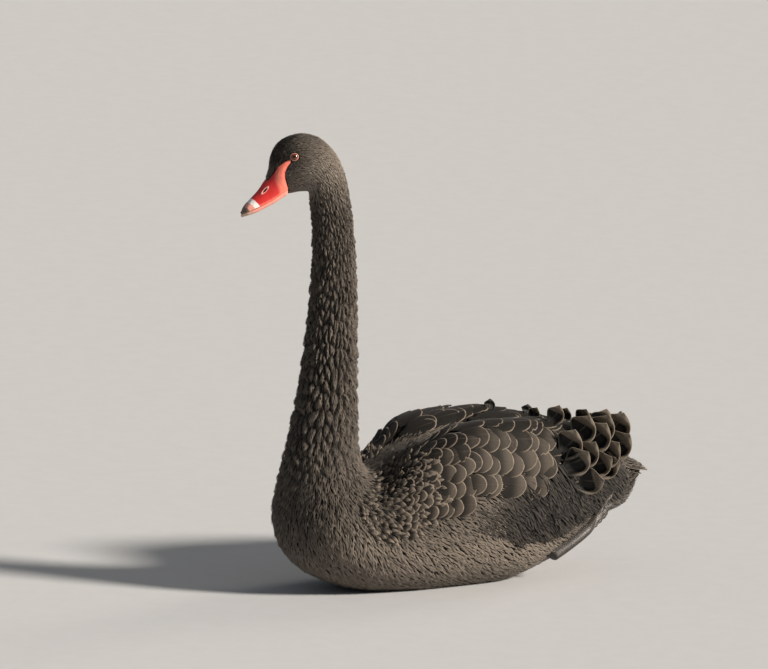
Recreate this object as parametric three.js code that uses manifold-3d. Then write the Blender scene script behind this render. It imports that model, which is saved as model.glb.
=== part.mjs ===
// A black swan at life size: a still model that rests on its belly with its neck raised.
// Millimetres. X is the bird's left, Y runs towards the tail and Z is up from the floor.
import * as THREE from "three";
import { mergeVertices } from "three/addons/utils/BufferGeometryUtils.js";
import Module from "manifold-3d";

const wasm = await Module();
wasm.setup();

// Sizes that drive the rest
const GAP = 0.3;
const SUNK = 4;
const FLOOR = 0;
const NECK_AXIS_Y = -229;
const HEAD_TURN = THREE.MathUtils.degToRad(-17);
const SIDES = [
  { word: "left", sign: 1, seed: 11, ruffle: 1, curl: 1 },
  { word: "right", sign: -1, seed: 23, ruffle: 0.8, curl: 0.5 },
];

// Colours, measured as the dry plumage and bare skin look in daylight
const PLUMAGE = { color: 0x2b2622, roughness: 0.75, metalness: 0 };
const BILL = { color: 0xb8202a, roughness: 0.35, metalness: 0 };
const EYE = { color: 0x5a1a10, roughness: 0.1, metalness: 0 };
const LEG = { color: 0x2a2727, roughness: 0.6, metalness: 0 };

// The bird's outline is one smooth loft from rump to bill tip. Each station gives the back
// line and the belly line of its section in the bird's middle plane as [y, z], its half
// width, how high up the section is widest, how square it is below and above that, and the
// share of the head's turn.
const BODY = [
  { back: [262, 172], belly: [264, 86], half: 36, waist: 0.5, square: 2.1 },
  { back: [218, 196], belly: [216, 72], half: 68, waist: 0.48, square: 2.2 },
  { back: [140, 212], belly: [142, 30], half: 100, waist: 0.46, square: 2.3 },
  { back: [45, 218], belly: [45, -4], half: 120, waist: 0.44, square: 2.3 },
  { back: [-50, 216], belly: [-58, -9], half: 124, waist: 0.43, square: 2.3 },
  { back: [-118, 202], belly: [-142, -7], half: 119, waist: 0.43, square: 2.3 },
  { back: [-156, 189], belly: [-220, 6], half: 111, waist: 0.45, square: 2.2 },
  { back: [-177, 184], belly: [-288, 44], half: 101, waist: 0.48, square: 2.1 },
  { back: [-188, 191], belly: [-316, 98], half: 86, waist: 0.5, square: 2.05 },
  { back: [-192, 210], belly: [-315, 154], half: 69, waist: 0.5, square: 2 },
  { back: [-193, 244], belly: [-303, 216], half: 54, waist: 0.5, square: 2 },
  { back: [-193, 300], belly: [-285, 292], half: 45.5, waist: 0.5, square: 2 },
  { back: [-193, 366], belly: [-273, 363], half: 40, waist: 0.5, square: 2 },
  { back: [-192, 440], belly: [-264, 440], half: 36, waist: 0.5, square: 2 },
  { back: [-194, 510], belly: [-259, 508], half: 32.5, waist: 0.5, square: 2 },
  { back: [-199, 562], belly: [-260.5, 554], half: 30.5, waist: 0.5, square: 2 },
  { back: [-204, 600], belly: [-263, 582], half: 30, waist: 0.5, square: 2, turn: 0.35 },
  { back: [-212, 634], belly: [-264, 599], half: 29.5, waist: 0.5, square: 2, turn: 0.8 },
  { back: [-225, 662], belly: [-266.5, 605], half: 30, waist: 0.5, square: 2.05, turn: 1 },
  { back: [-247, 684], belly: [-274, 606], half: 30, waist: 0.52, square: 2.1, turn: 1 },
  { back: [-272, 692.5], belly: [-282, 605.5], half: 29, waist: 0.52, square: 2.1, turn: 1 },
  { back: [-295, 689.5], belly: [-288, 604.5], half: 26.5, waist: 0.5, square: 2.1, turn: 1 },
  { back: [-313, 679], belly: [-294, 603.5], half: 23, waist: 0.48, square: 2.1, turn: 1 },
  { back: [-323.5, 661], belly: [-299, 600.5], half: 20, waist: 0.44, square: 2.1, crest: 1.9,
    turn: 1 },
  { back: [-327, 641], belly: [-308, 595.5], half: 17.5, waist: 0.4, square: 2.2, crest: 1.7,
    turn: 1 },
  { back: [-333.5, 624], belly: [-319, 589], half: 16, waist: 0.36, square: 2.3, crest: 1.7,
    turn: 1 },
  { back: [-343, 609], belly: [-333, 582.5], half: 15, waist: 0.36, square: 2.3, crest: 1.8,
    turn: 1 },
  { back: [-354.5, 597], belly: [-347, 576], half: 13.5, waist: 0.4, square: 2.4, crest: 1.9,
    turn: 1 },
  { back: [-364, 588], belly: [-359, 572], half: 10.5, waist: 0.45, square: 2.3, turn: 1 },
  { back: [-369, 578], belly: [-365.5, 570], half: 4.5, waist: 0.5, square: 2.1, turn: 1 },
];
const RUMP = 0;
const NECK_BASE = 8.6;
const NECK_CUTS = [NECK_BASE, 11, 12.7, 14.4, 16.1];
const NECK_NAMES = ["neck_base", "neck_lower", "neck_middle", "neck_upper"];
const BILL_TIP = BODY.length - 1;

// The wedge of rump and under-tail coverts that carries the tail feathers
const TAIL = [
  { back: [262, 172], belly: [264, 86], half: 36, waist: 0.5, square: 2.1 },
  { back: [276, 163], belly: [275, 95], half: 31, waist: 0.6, square: 2.1 },
  { back: [289, 155], belly: [286, 114], half: 24, waist: 0.7, square: 2.1 },
  { back: [300, 149], belly: [297, 138], half: 14, waist: 0.6, square: 2.1 },
];

// A folded wing lies on the body between two edges, given as degrees round the section from
// the middle of the back at each station, and swells to its thickness at the ridge.
const WING_FROM = 1.1;
const WING_TO = 6.05;
const WING_EDGES = [
  { at: 1.1, top: 14, bottom: 72, left: 14, right: 12 },
  { at: 2, top: 8, bottom: 86, left: 38, right: 31 },
  { at: 3, top: 8, bottom: 90, left: 52, right: 49 },
  { at: 4, top: 9, bottom: 92, left: 61, right: 48 },
  { at: 5, top: 16, bottom: 92, left: 41, right: 13 },
  { at: 5.6, top: 30, bottom: 88, left: 17, right: 6 },
  { at: 6.05, top: 52, bottom: 72, left: 4, right: 3 },
];
const RIDGE = 0.34;

// Small helpers
const DEGREE = Math.PI / 180;

function randomFrom(seed) {
  let state = seed;
  return () => {
    state = (state + 0x6d2b79f5) | 0;
    let mixed = Math.imul(state ^ (state >>> 15), 1 | state);
    mixed = (mixed + Math.imul(mixed ^ (mixed >>> 7), 61 | mixed)) ^ mixed;
    return ((mixed ^ (mixed >>> 14)) >>> 0) / 4294967296;
  };
}

function catmull(a, b, c, d, s) {
  const square = s * s;
  const cube = square * s;
  return 0.5 * (2 * b + (c - a) * s + (2 * a - 5 * b + 4 * c - d) * square
    + (3 * b - a - 3 * c + d) * cube);
}

function sampled(list, t, read) {
  const i = Math.min(Math.max(Math.floor(t), 0), list.length - 2);
  const value = (k) => read(list[Math.min(Math.max(k, 0), list.length - 1)]);
  return catmull(value(i - 1), value(i), value(i + 1), value(i + 2), t - i);
}

// Smooth reading of a list of rows with an "at" column
function atRow(rows, at, key) {
  let i = 0;
  while (i < rows.length - 2 && rows[i + 1].at < at) i += 1;
  const share = THREE.MathUtils.clamp((at - rows[i].at) / (rows[i + 1].at - rows[i].at), 0, 1);
  const smooth = share * share * (3 - 2 * share);
  return rows[i][key] + (rows[i + 1][key] - rows[i][key]) * smooth;
}

// A point of a lofted surface: t counts stations, and turn is the angle round the section
// from the middle of the back, towards the bird's left.
function onLoft(list, t, turn) {
  const backY = sampled(list, t, (s) => s.back[0]);
  const backZ = sampled(list, t, (s) => s.back[1]);
  const bellyY = sampled(list, t, (s) => s.belly[0]);
  const bellyZ = sampled(list, t, (s) => s.belly[1]);
  const half = sampled(list, t, (s) => s.half);
  const waist = sampled(list, t, (s) => s.waist);
  const upper = Math.cos(turn) > 0;
  const power = 2 / sampled(list, t, (s) => (upper ? s.crest ?? s.square : s.square));
  const across = Math.sign(Math.sin(turn)) * Math.abs(Math.sin(turn)) ** power;
  const up = Math.sign(Math.cos(turn)) * Math.abs(Math.cos(turn)) ** power;
  const share = waist + up * (up > 0 ? 1 - waist : waist);
  const x = half * across;
  const y = bellyY + (backY - bellyY) * share;
  const z = bellyZ + (backZ - bellyZ) * share;
  const angle = HEAD_TURN * sampled(list, t, (s) => s.turn ?? 0);
  const fromAxis = y - NECK_AXIS_Y;
  return new THREE.Vector3(
    x * Math.cos(angle) - fromAxis * Math.sin(angle),
    NECK_AXIS_Y + x * Math.sin(angle) + fromAxis * Math.cos(angle),
    z,
  );
}

function normalOn(list, t, turn) {
  const last = list.length - 1;
  const low = Math.max(t - 0.02, 0);
  const high = Math.min(t + 0.02, last);
  const along = onLoft(list, high, turn).sub(onLoft(list, low, turn));
  const round = onLoft(list, t, turn + 0.01).sub(onLoft(list, t, turn - 0.01));
  return along.cross(round).normalize();
}

function lifted(list, t, turn, lift) {
  const point = onLoft(list, t, turn);
  if (lift) point.addScaledVector(normalOn(list, t, turn), lift);
  return point;
}

// Solids from meshes, and meshes from solids
function geometryFrom(points, triangles) {
  const geometry = new THREE.BufferGeometry();
  const flat = points.flatMap((p) => [p.x, p.y, p.z]);
  geometry.setAttribute("position", new THREE.Float32BufferAttribute(flat, 3));
  geometry.setIndex(triangles.flat());
  return geometry;
}

function solidFrom(geometry) {
  const bare = geometry.clone();
  bare.deleteAttribute("normal");
  bare.deleteAttribute("uv");
  const merged = mergeVertices(bare, 1e-4);
  const triVerts = new Uint32Array(merged.index.array);
  const vertProperties = new Float32Array(merged.attributes.position.array);
  const made = new wasm.Manifold(new wasm.Mesh({ numProp: 3, vertProperties, triVerts }));
  if (made.volume() > 0) return made;
  for (let i = 0; i < triVerts.length; i += 3) {
    [triVerts[i + 1], triVerts[i + 2]] = [triVerts[i + 2], triVerts[i + 1]];
  }
  return new wasm.Manifold(new wasm.Mesh({ numProp: 3, vertProperties, triVerts }));
}

function largest(solid) {
  const bodies = solid.decompose();
  return bodies.reduce((best, body) => (body.volume() > best.volume() ? body : best));
}

function geometryOf(solid) {
  const mesh = solid.getMesh();
  const geometry = new THREE.BufferGeometry();
  const points = [];
  for (let i = 0; i < mesh.numVert; i += 1) {
    points.push(...mesh.vertProperties.subarray(i * mesh.numProp, i * mesh.numProp + 3));
  }
  geometry.setAttribute("position", new THREE.Float32BufferAttribute(points, 3));
  geometry.setIndex([...mesh.triVerts]);
  return geometry;
}

function together(solids) {
  return wasm.Manifold.union(solids);
}

// A closed skin over rings of points, with a flat cap at each end
function skinOver(rings) {
  const count = rings[0].length;
  const points = rings.flat();
  const triangles = [];
  for (let r = 0; r < rings.length - 1; r += 1) {
    for (let i = 0; i < count; i += 1) {
      const a = r * count + i;
      const b = r * count + ((i + 1) % count);
      triangles.push([a, b, b + count], [a, b + count, a + count]);
    }
  }
  for (const [ring, facing] of [[0, 1], [rings.length - 1, 0]]) {
    const middle = rings[ring].reduce((sum, p) => sum.add(p), new THREE.Vector3());
    const centre = points.push(middle.divideScalar(count)) - 1;
    for (let i = 0; i < count; i += 1) {
      const a = ring * count + i;
      const b = ring * count + ((i + 1) % count);
      triangles.push(facing ? [b, a, centre] : [a, b, centre]);
    }
  }
  return solidFrom(geometryFrom(points, triangles));
}

function loft(list, from, to, steps, around, lift = 0) {
  const rings = [];
  for (let r = 0; r <= steps; r += 1) {
    const t = from + ((to - from) * r) / steps;
    const ring = [];
    for (let i = 0; i < around; i += 1) {
      const point = lifted(list, t, ((i + 0.5) / around) * Math.PI * 2, lift);
      point.z = Math.max(point.z, FLOOR);
      ring.push(point);
    }
    rings.push(ring);
  }
  return skinOver(rings);
}

// How much t changes over one millimetre of the middle line at t
function stepAt(list, t) {
  const middle = (s) => onLoft(list, s, 0).add(onLoft(list, s, Math.PI)).multiplyScalar(0.5);
  return 0.02 / middle(t + 0.01).distanceTo(middle(t - 0.01));
}

// The folded wing's surface over the body
function wingThickness(side, t, turnDegrees) {
  const top = atRow(WING_EDGES, t, "top");
  const bottom = atRow(WING_EDGES, t, "bottom");
  const share = (turnDegrees - top) / (bottom - top);
  if (t < WING_FROM || t > WING_TO || share < 0 || share > 1) return 0;
  const rise = share < RIDGE ? share / RIDGE : 1;
  const fall = share > RIDGE ? (share - RIDGE) / (1 - RIDGE) : 0;
  const crown = Math.sin((rise * Math.PI) / 2) ** 0.8 * (1 - 0.88 * fall ** 0.8);
  return atRow(WING_EDGES, t, side.word) * crown;
}

function onWing(side, t, turn) {
  return lifted(BODY, t, turn, wingThickness(side, t, THREE.MathUtils.radToDeg(turn)));
}

// The frame of the wing's surface: the ways back and down along it, and out of it
function wingFrame(side, t, turn) {
  const forward = onWing(side, t + 0.03, turn).sub(onWing(side, t - 0.03, turn));
  const down = onWing(side, t, turn + 0.02).sub(onWing(side, t, turn - 0.02));
  const out = forward.clone().cross(down).normalize();
  return {
    point: onWing(side, t, turn),
    out,
    perBack: forward.length() / 0.06,
    perDown: down.length() / 0.04,
    back: forward.normalize().negate(),
    down: down.normalize(),
  };
}

// One feather vane as a thin closed slab. ribs holds its middle line, each with a point, the
// way across, the way out and the half width there; edges sink below the rib by droop.
function vane(ribs, thickness, droop) {
  const points = [];
  const triangles = [];
  for (const rib of ribs) {
    const below = rib.out.clone().multiplyScalar(-thickness);
    for (const side of [-1, 0, 1]) {
      const top = rib.point.clone().addScaledVector(rib.across, side * rib.half);
      top.addScaledVector(rib.out, -droop * side * side * (rib.half / ribs.widest));
      points.push(top, top.clone().add(below));
    }
  }
  const index = (r, c, under) => r * 6 + c * 2 + under;
  for (let r = 0; r < ribs.length - 1; r += 1) {
    for (const c of [0, 1]) {
      for (const under of [0, 1]) {
        const [a, b] = [index(r, c, under), index(r, c + 1, under)];
        const [d, e] = [index(r + 1, c, under), index(r + 1, c + 1, under)];
        const pair = c === 0 ? [[a, b, e], [a, e, d]] : [[a, b, d], [b, e, d]];
        for (const [p, q, s] of pair) triangles.push(under ? [p, s, q] : [p, q, s]);
      }
    }
    for (const c of [0, 2]) {
      const [a, b] = [index(r, c, 0), index(r, c, 1)];
      const [d, e] = [index(r + 1, c, 0), index(r + 1, c, 1)];
      const pair = [[a, d, e], [a, e, b]];
      for (const [p, q, s] of pair) triangles.push(c === 0 ? [p, q, s] : [p, s, q]);
    }
  }
  for (const r of [0, ribs.length - 1]) {
    for (const c of [0, 1]) {
      const [a, b] = [index(r, c, 0), index(r, c + 1, 0)];
      const [d, e] = [index(r, c, 1), index(r, c + 1, 1)];
      const pair = [[a, d, e], [a, e, b]];
      for (const [p, q, s] of pair) triangles.push(r === 0 ? [p, q, s] : [p, s, q]);
    }
  }
  return solidFrom(geometryFrom(points, triangles));
}

const ROUND_TIP = [[0, 0.6], [0.5, 1], [0.84, 0.8], [1, 0.26]];
const LONG_TIP = [[0, 0.5], [0.3, 0.9], [0.6, 1], [0.85, 0.72], [1, 0.16]];

// A vane that lies on the wing from a root at t and turn, heading back and down by slant
function lyingVane(side, root, size) {
  let { t, turn } = root;
  let walked = 0;
  const ribs = [];
  for (const [share, width] of ROUND_TIP) {
    const step = share * size.length - walked;
    const before = wingFrame(side, t, turn);
    t -= (step * Math.cos(size.slant)) / before.perBack;
    turn += (step * Math.sin(size.slant)) / before.perDown;
    walked = share * size.length;
    const here = wingFrame(side, t, turn);
    const along = here.back.clone().multiplyScalar(Math.cos(size.slant));
    along.addScaledVector(here.down, Math.sin(size.slant));
    const across = here.out.clone().cross(along).normalize();
    const rise = LYING.root + (LYING.tip - LYING.root) * share;
    ribs.push(mirrored(side, {
      point: here.point.addScaledVector(here.out, rise),
      across,
      out: here.out,
      half: (width * size.width) / 2,
    }));
  }
  ribs.widest = size.width / 2;
  return vane(ribs, LYING.thickness, LYING.droop);
}

function mirrored(side, rib) {
  for (const key of ["point", "across", "out"]) rib[key].x *= side.sign;
  return rib;
}

// A vane that leaves the wing and curls up, by its curl in degrees at the tip, with its edges
// cupped upwards
function curledVane(side, root, size) {
  const frame = wingFrame(side, root.t, root.turn);
  const way = frame.back.clone().multiplyScalar(Math.cos(size.slant));
  way.addScaledVector(frame.down, Math.sin(size.slant));
  const up = frame.out.clone();
  up.z += CURLED.upright;
  up.addScaledVector(way, -up.dot(way)).normalize();
  const across = up.clone().cross(way).normalize();
  const point = frame.point.clone().addScaledVector(frame.out, CURLED.sunk);
  const ribs = [];
  const last = CURLED.ribs - 1;
  for (let i = 0; i <= last; i += 1) {
    const share = i / last;
    const bend = (size.start + size.curl * share ** CURLED.bendFrom) * DEGREE;
    const along = way.clone().multiplyScalar(Math.cos(bend)).addScaledVector(up, Math.sin(bend));
    const out = up.clone().multiplyScalar(Math.cos(bend)).addScaledVector(way, -Math.sin(bend));
    const past = (share - CURLED.wide) / (1 - CURLED.wide);
    const width = past < 0 ? 0.6 + 0.4 * Math.sin((share / CURLED.wide) * (Math.PI / 2))
      : 1 - 0.84 * past ** 1.8;
    ribs.push(mirrored(side, {
      point: point.clone(), across: across.clone(), out, half: (size.width / 2) * width,
    }));
    point.addScaledVector(along, size.length / last);
  }
  ribs.widest = size.width / 2;
  return vane(ribs, CURLED.thickness, CURLED.droop);
}

// A closed slab on the body between two grids of lifts: place gives t and turn for a row and
// a column, and high and low how far the slab's two faces lie from the body there.
function slab(side, rows, columns, place, high, low) {
  const outer = [];
  const inner = [];
  for (let r = 0; r <= rows; r += 1) {
    for (let c = 0; c <= columns; c += 1) {
      const { t, turn } = place(r / rows, c / columns);
      for (const [list, lift] of [[outer, high], [inner, low]]) {
        const point = lifted(BODY, t, turn, lift(r / rows, c / columns, t, turn));
        point.x *= side.sign;
        list.push(point);
      }
    }
  }
  const width = columns + 1;
  const total = outer.length;
  const triangles = [];
  for (let r = 0; r < rows; r += 1) {
    for (let c = 0; c < columns; c += 1) {
      const a = r * width + c;
      const [b, d, e] = [a + 1, a + width, a + width + 1];
      triangles.push([a, b, e], [a, e, d]);
      triangles.push([total + a, total + e, total + b], [total + a, total + d, total + e]);
    }
  }
  const rim = [];
  for (let c = 0; c < columns; c += 1) rim.push(c);
  for (let r = 0; r < rows; r += 1) rim.push(r * width + columns);
  for (let c = columns; c > 0; c -= 1) rim.push(rows * width + c);
  for (let r = rows; r > 0; r -= 1) rim.push(r * width);
  rim.forEach((a, i) => {
    const b = rim[(i + 1) % rim.length];
    triangles.push([a, total + a, total + b], [a, total + b, b]);
  });
  return solidFrom(geometryFrom([...outer, ...inner], triangles));
}

// The core of a folded wing, sunk a little into the body before the body is cut from it
function wingCore(side) {
  const place = (r, c) => {
    const t = WING_FROM + (WING_TO - WING_FROM) * r;
    return { t, turn: turnAt(t, c * 0.998 + 0.001) };
  };
  const high = (r, c, t, turn) => wingThickness(side, t, turn / DEGREE);
  return slab(side, 12, 8, place, high, () => -SUNK);
}

// Tiers of feathers that lie on each wing, from the shoulder back: the station of the tier's
// roots, how many feathers it has, between which shares of the way down the wing, and their
// length, width and slant. A tier's roots lie further forward in its middle by its bow.
const TIERS = [
  { t: 5.2, count: 3, top: 0.3, bottom: 0.96, length: 48, width: 42, slant: 20, bow: 0.12 },
  { t: 4.7, count: 4, top: 0.3, bottom: 0.95, length: 54, width: 41, slant: 16, bow: 0.12 },
  { t: 4.15, count: 4, top: 0.36, bottom: 0.95, length: 62, width: 43, slant: 12, bow: 0.1 },
  { t: 3.55, count: 4, top: 0.4, bottom: 0.95, length: 70, width: 45, slant: 8, bow: 0.1 },
  { t: 2.95, count: 3, top: 0.42, bottom: 0.9, length: 74, width: 48, slant: 3, bow: 0.05 },
  { t: 4.9, count: 2, top: 0.02, bottom: 0.34, length: 86, width: 36, slant: 3, bow: 0 },
  { t: 3.9, count: 2, top: 0.02, bottom: 0.4, length: 90, width: 39, slant: 1, bow: 0 },
];
const LYING = { root: -1.6, tip: 2.9, thickness: 3.6, droop: 2.2 };

function turnAt(t, share) {
  const top = atRow(WING_EDGES, t, "top");
  return (top + (atRow(WING_EDGES, t, "bottom") - top) * share) * DEGREE;
}

function lyingFeathers(side, random) {
  const made = [];
  TIERS.forEach((tier, row) => {
    for (let i = 0; i < tier.count; i += 1) {
      const place = (i + (row % 2 ? 0.3 : 0.6)) / tier.count;
      const share = tier.top + (tier.bottom - tier.top) * place;
      const t = tier.t + tier.bow * Math.sin(Math.PI * place);
      const size = {
        length: tier.length * (0.95 + 0.1 * random()),
        width: tier.width * (0.95 + 0.1 * random()),
        slant: (tier.slant * (0.4 + share) + (random() - 0.5) * 5) * DEGREE,
      };
      made.push(lyingVane(side, { t, turn: turnAt(t, share) }, size));
    }
  });
  return made;
}

// The ruffled inner flight feathers, which leave the folded wing and curl up over the rump in
// rows. shares are their places down the wing.
const RUFFLE_ROWS = [
  { t: 2.85, shares: [0.08, 0.34], length: 58, width: 36, curl: 56, start: 0 },
  { t: 2.38, shares: [0.22, 0.52], length: 64, width: 41, curl: 80, start: 4 },
  { t: 2.06, shares: [0.02, 0.38, 0.72], length: 68, width: 44, curl: 86, start: 10 },
  { t: 1.74, shares: [0.18, 0.54, 0.88], length: 69, width: 45, curl: 86, start: 16 },
  { t: 1.46, shares: [0, 0.34, 0.7], length: 66, width: 44, curl: 84, start: 20 },
  { t: 1.24, shares: [0.2, 0.58, 0.9], length: 52, width: 41, curl: 86, start: 20 },
];
const CURLED = {
  ribs: 5, upright: 0.55, sunk: -4, thickness: 1.2, droop: -10, bendFrom: 1.4, wide: 0.5,
};

function ruffles(side, random) {
  const made = [];
  for (const row of RUFFLE_ROWS) {
    for (const share of row.shares) {
      const size = {
        length: row.length * side.ruffle * (0.93 + 0.14 * random()),
        width: row.width * (0.93 + 0.14 * random()),
        slant: (14 * share + (random() - 0.5) * 12) * DEGREE,
        curl: row.curl * side.curl * (0.9 + 0.2 * random()),
        start: row.start * side.curl,
      };
      const t = row.t + (random() - 0.5) * 0.06;
      made.push(curledVane(side, { t, turn: turnAt(t, share) }, size));
    }
  }
  return made;
}

function wing(side, bodyToClear) {
  const random = randomFrom(side.seed);
  const pieces = [wingCore(side), ...lyingFeathers(side, random), ...ruffles(side, random)];
  const half = together(pieces).trimByPlane([side.sign, 0, 0], GAP);
  return largest(half.subtract(bodyToClear));
}

// The tail: a wedge of coverts with two tiers of stiff vanes fanned from it
const TAIL_TIERS = [
  { count: 5, spread: 19, root: [0, 240, 157], length: 65, width: 29, drop: -6 },
  { count: 4, spread: 14, root: [0, 236, 165], length: 50, width: 27, drop: -8 },
];

function tailVane(tier, angle, level) {
  const drop = (tier.drop + Math.abs(angle) * -0.12) * DEGREE;
  const turn = angle * DEGREE;
  const along = new THREE.Vector3(
    Math.sin(turn) * Math.cos(drop), Math.cos(turn) * Math.cos(drop), Math.sin(drop));
  const across = new THREE.Vector3(Math.cos(turn), -Math.sin(turn), 0);
  const out = across.clone().cross(along).normalize();
  const start = new THREE.Vector3(...tier.root);
  start.x += angle * 0.5;
  start.z += level;
  const ribs = LONG_TIP.map(([share, width]) => ({
    point: start.clone().addScaledVector(along, share * tier.length),
    across: across.clone(),
    out: out.clone(),
    half: (width * tier.width) / 2,
  }));
  ribs.widest = tier.width / 2;
  return vane(ribs, 1.2, 1.5);
}

function tail(bodyToClear) {
  const start = RUMP + GAP * stepAt(TAIL, 0.02);
  const pieces = [loft(TAIL, start, TAIL.length - 1, 6, 16)];
  for (const tier of TAIL_TIERS) {
    for (let i = 0; i < tier.count; i += 1) {
      const angle = -tier.spread + (2 * tier.spread * i) / (tier.count - 1);
      const level = (Math.abs(i - (tier.count - 1) / 2)) * -1.1;
      pieces.push(tailVane(tier, angle, level));
    }
  }
  return largest(together(pieces).subtract(bodyToClear));
}

// Head, eyes and bill. Places are in the middle plane as [y, z], before the head turns.
const EYE_PLACE = [-292.5, 660];
const EYE_RADIUS = 7.6;
const EYE_SETBACK = 5.2;
const LID_RADIUS = 5.9;
const LID_WIRE = 1.5;
const NOSTRIL_PLACE = [-331.5, 607.5];
const BARE_SKIN = [
  [-344, 622], [-329, 626], [-321.5, 636.5], [-316.5, 646.5], [-307, 653.5], [-298, 658],
  [-298.5, 653.5], [-303.5, 646], [-306.5, 638], [-306, 628], [-302.5, 618], [-299, 609.5],
  [-296, 592], [-345, 550], [-385, 550],
];
const MOUTH = [
  [-296, 612], [-304, 607.5], [-313, 601.5], [-324, 594.5], [-341, 586.5], [-354, 581], [-376, 572],
];

function grown(outline, by) {
  const clockwise = THREE.ShapeUtils.isClockWise(outline.map(([y, z]) => new THREE.Vector2(y, z)));
  const out = clockwise ? -by : by;
  return outline.map((point, i) => {
    const before = outline[(i + outline.length - 1) % outline.length];
    const after = outline[(i + 1) % outline.length];
    const first = new THREE.Vector2(point[0] - before[0], point[1] - before[1]).normalize();
    const second = new THREE.Vector2(after[0] - point[0], after[1] - point[1]).normalize();
    const way = first.add(second).normalize();
    return [point[0] + way.y * out, point[1] - way.x * out];
  });
}

function turnedWithHead(geometry) {
  geometry.translate(0, -NECK_AXIS_Y, 0);
  geometry.rotateZ(HEAD_TURN);
  geometry.translate(0, NECK_AXIS_Y, 0);
  return geometry;
}

// A prism across the whole head over an outline in the middle plane
function acrossHead(outline) {
  const width = 120;
  const shape = new THREE.Shape(outline.map(([y, z]) => new THREE.Vector2(y, z)));
  const geometry = new THREE.ExtrudeGeometry(shape, { depth: width, bevelEnabled: false });
  geometry.translate(0, 0, -width / 2);
  geometry.applyMatrix4(new THREE.Matrix4().set(0, 0, 1, 0, 1, 0, 0, 0, 0, 1, 0, 0, 0, 0, 0, 1));
  return solidFrom(turnedWithHead(geometry));
}

// The spot of the left cheek or bill that lies nearest to a place, and its way out
function headSpot(place) {
  const spot = { distance: Infinity };
  for (let t = 19; t < 26; t += 0.05) {
    for (let turn = 0.3; turn < 2.8; turn += 0.03) {
      const p = onLoft(BODY, t, turn);
      const y = NECK_AXIS_Y + p.x * Math.sin(-HEAD_TURN) + (p.y - NECK_AXIS_Y) * Math.cos(HEAD_TURN);
      const distance = Math.hypot(y - place[0], p.z - place[1]);
      if (distance < spot.distance) Object.assign(spot, { distance, t, turn });
    }
  }
  return spot;
}

// A geometry made round Z, set on the head at a spot, on the left or mirrored to the right
function onHead(geometry, spot, sign, lift) {
  const point = lifted(BODY, spot.t, sign * spot.turn, lift);
  const out = normalOn(BODY, spot.t, sign * spot.turn);
  const turned = new THREE.Quaternion().setFromUnitVectors(new THREE.Vector3(0, 0, 1), out);
  return solidFrom(geometry.applyQuaternion(turned).translate(point.x, point.y, point.z));
}

function eyeBall(sign, radius) {
  const geometry = new THREE.SphereGeometry(radius, 12, 8);
  return onHead(geometry, headSpot(EYE_PLACE), sign, -EYE_SETBACK);
}

function lid(sign) {
  const geometry = new THREE.TorusGeometry(LID_RADIUS, LID_WIRE, 6, 14);
  return onHead(geometry, headSpot(EYE_PLACE), sign, 0.1);
}

function nostril(sign) {
  const geometry = new THREE.SphereGeometry(1, 8, 6);
  geometry.scale(4.6, 2.2, 3.2).rotateZ(sign * 0.5);
  return onHead(geometry, headSpot(NOSTRIL_PLACE), sign, -0.3);
}

function headParts() {
  const start = NECK_CUTS.at(-1) + GAP * stepAt(BODY, NECK_CUTS.at(-1));
  const whole = loft(BODY, start, BILL_TIP, 28, 20);
  const lids = together([lid(1), lid(-1)]);
  const sockets = together([eyeBall(1, EYE_RADIUS + GAP), eyeBall(-1, EYE_RADIUS + GAP)]);
  const bare = acrossHead(BARE_SKIN);
  const head = whole.add(lids).subtract(sockets).subtract(acrossHead(grown(BARE_SKIN, GAP)));
  const under = [...MOUTH, [-395, 550], [-280, 550]];
  const nostrils = together([nostril(1), nostril(-1)]);
  const bill = whole.intersect(bare).subtract(nostrils).subtract(lids).subtract(sockets);
  return {
    head,
    bill_upper: bill.subtract(acrossHead(grown(under, GAP))),
    bill_lower: bill.intersect(acrossHead(under)),
  };
}

// Feet, tucked back along the under side of the rump: the shank, the ankle and three toes with
// their webs lie on the body from front to back, at a place round the section in degrees.
const FOOT = {
  front: 2.5, back: 0.98, frontTurn: 132, backTurn: 112, ankle: 0.48, shank: 8, spread: 19,
};
const TOES = [-0.84, 0, 0.84];

function footWidth(along) {
  const { ankle, shank, spread } = FOOT;
  if (along < ankle) return shank;
  const share = (along - ankle) / (1 - ankle);
  return shank + (spread - shank) * Math.sin(Math.min(share * 1.5, 1) * (Math.PI / 2));
}

function nearestToe(across) {
  return Math.min(...TOES.map((toe) => Math.abs(across - toe)));
}

function foot(side, bodyToClear) {
  const place = (r, c) => {
    const across = c * 2 - 1;
    const end = 1 - 0.1 * Math.min(nearestToe(across) / 0.42, 1) - 0.08 * Math.abs(across);
    const along = r * (r > FOOT.ankle ? 1 + (end - 1) * ((r - FOOT.ankle) / (1 - FOOT.ankle)) : 1);
    const t = FOOT.front + (FOOT.back - FOOT.front) * along;
    const middle = (FOOT.frontTurn + (FOOT.backTurn - FOOT.frontTurn) * along) * DEGREE;
    const perTurn = onLoft(BODY, t, middle + 0.01).distanceTo(onLoft(BODY, t, middle - 0.01)) / 0.02;
    return { t, turn: middle + (across * footWidth(along)) / perTurn };
  };
  const high = (r, c) => {
    const across = c * 2 - 1;
    const shank = 12 * Math.sqrt(Math.max(1 - across ** 2, 0.02));
    const ridge = 2.2 + 6 * Math.exp(-((nearestToe(across) / 0.2) ** 2)) * (1.15 - 0.5 * r);
    const share = THREE.MathUtils.smoothstep(r, FOOT.ankle - 0.02, FOOT.ankle + 0.2);
    return shank * (1 - share) + ridge * share;
  };
  return largest(slab(side, 9, 12, place, high, () => -SUNK).subtract(bodyToClear));
}

// Everything together, each part in its own named mesh
const swan = new THREE.Group();

function addPart(name, solid, finish) {
  const mesh = new THREE.Mesh(geometryOf(largest(solid)), new THREE.MeshStandardMaterial(finish));
  mesh.name = name;
  swan.add(mesh);
}

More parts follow.
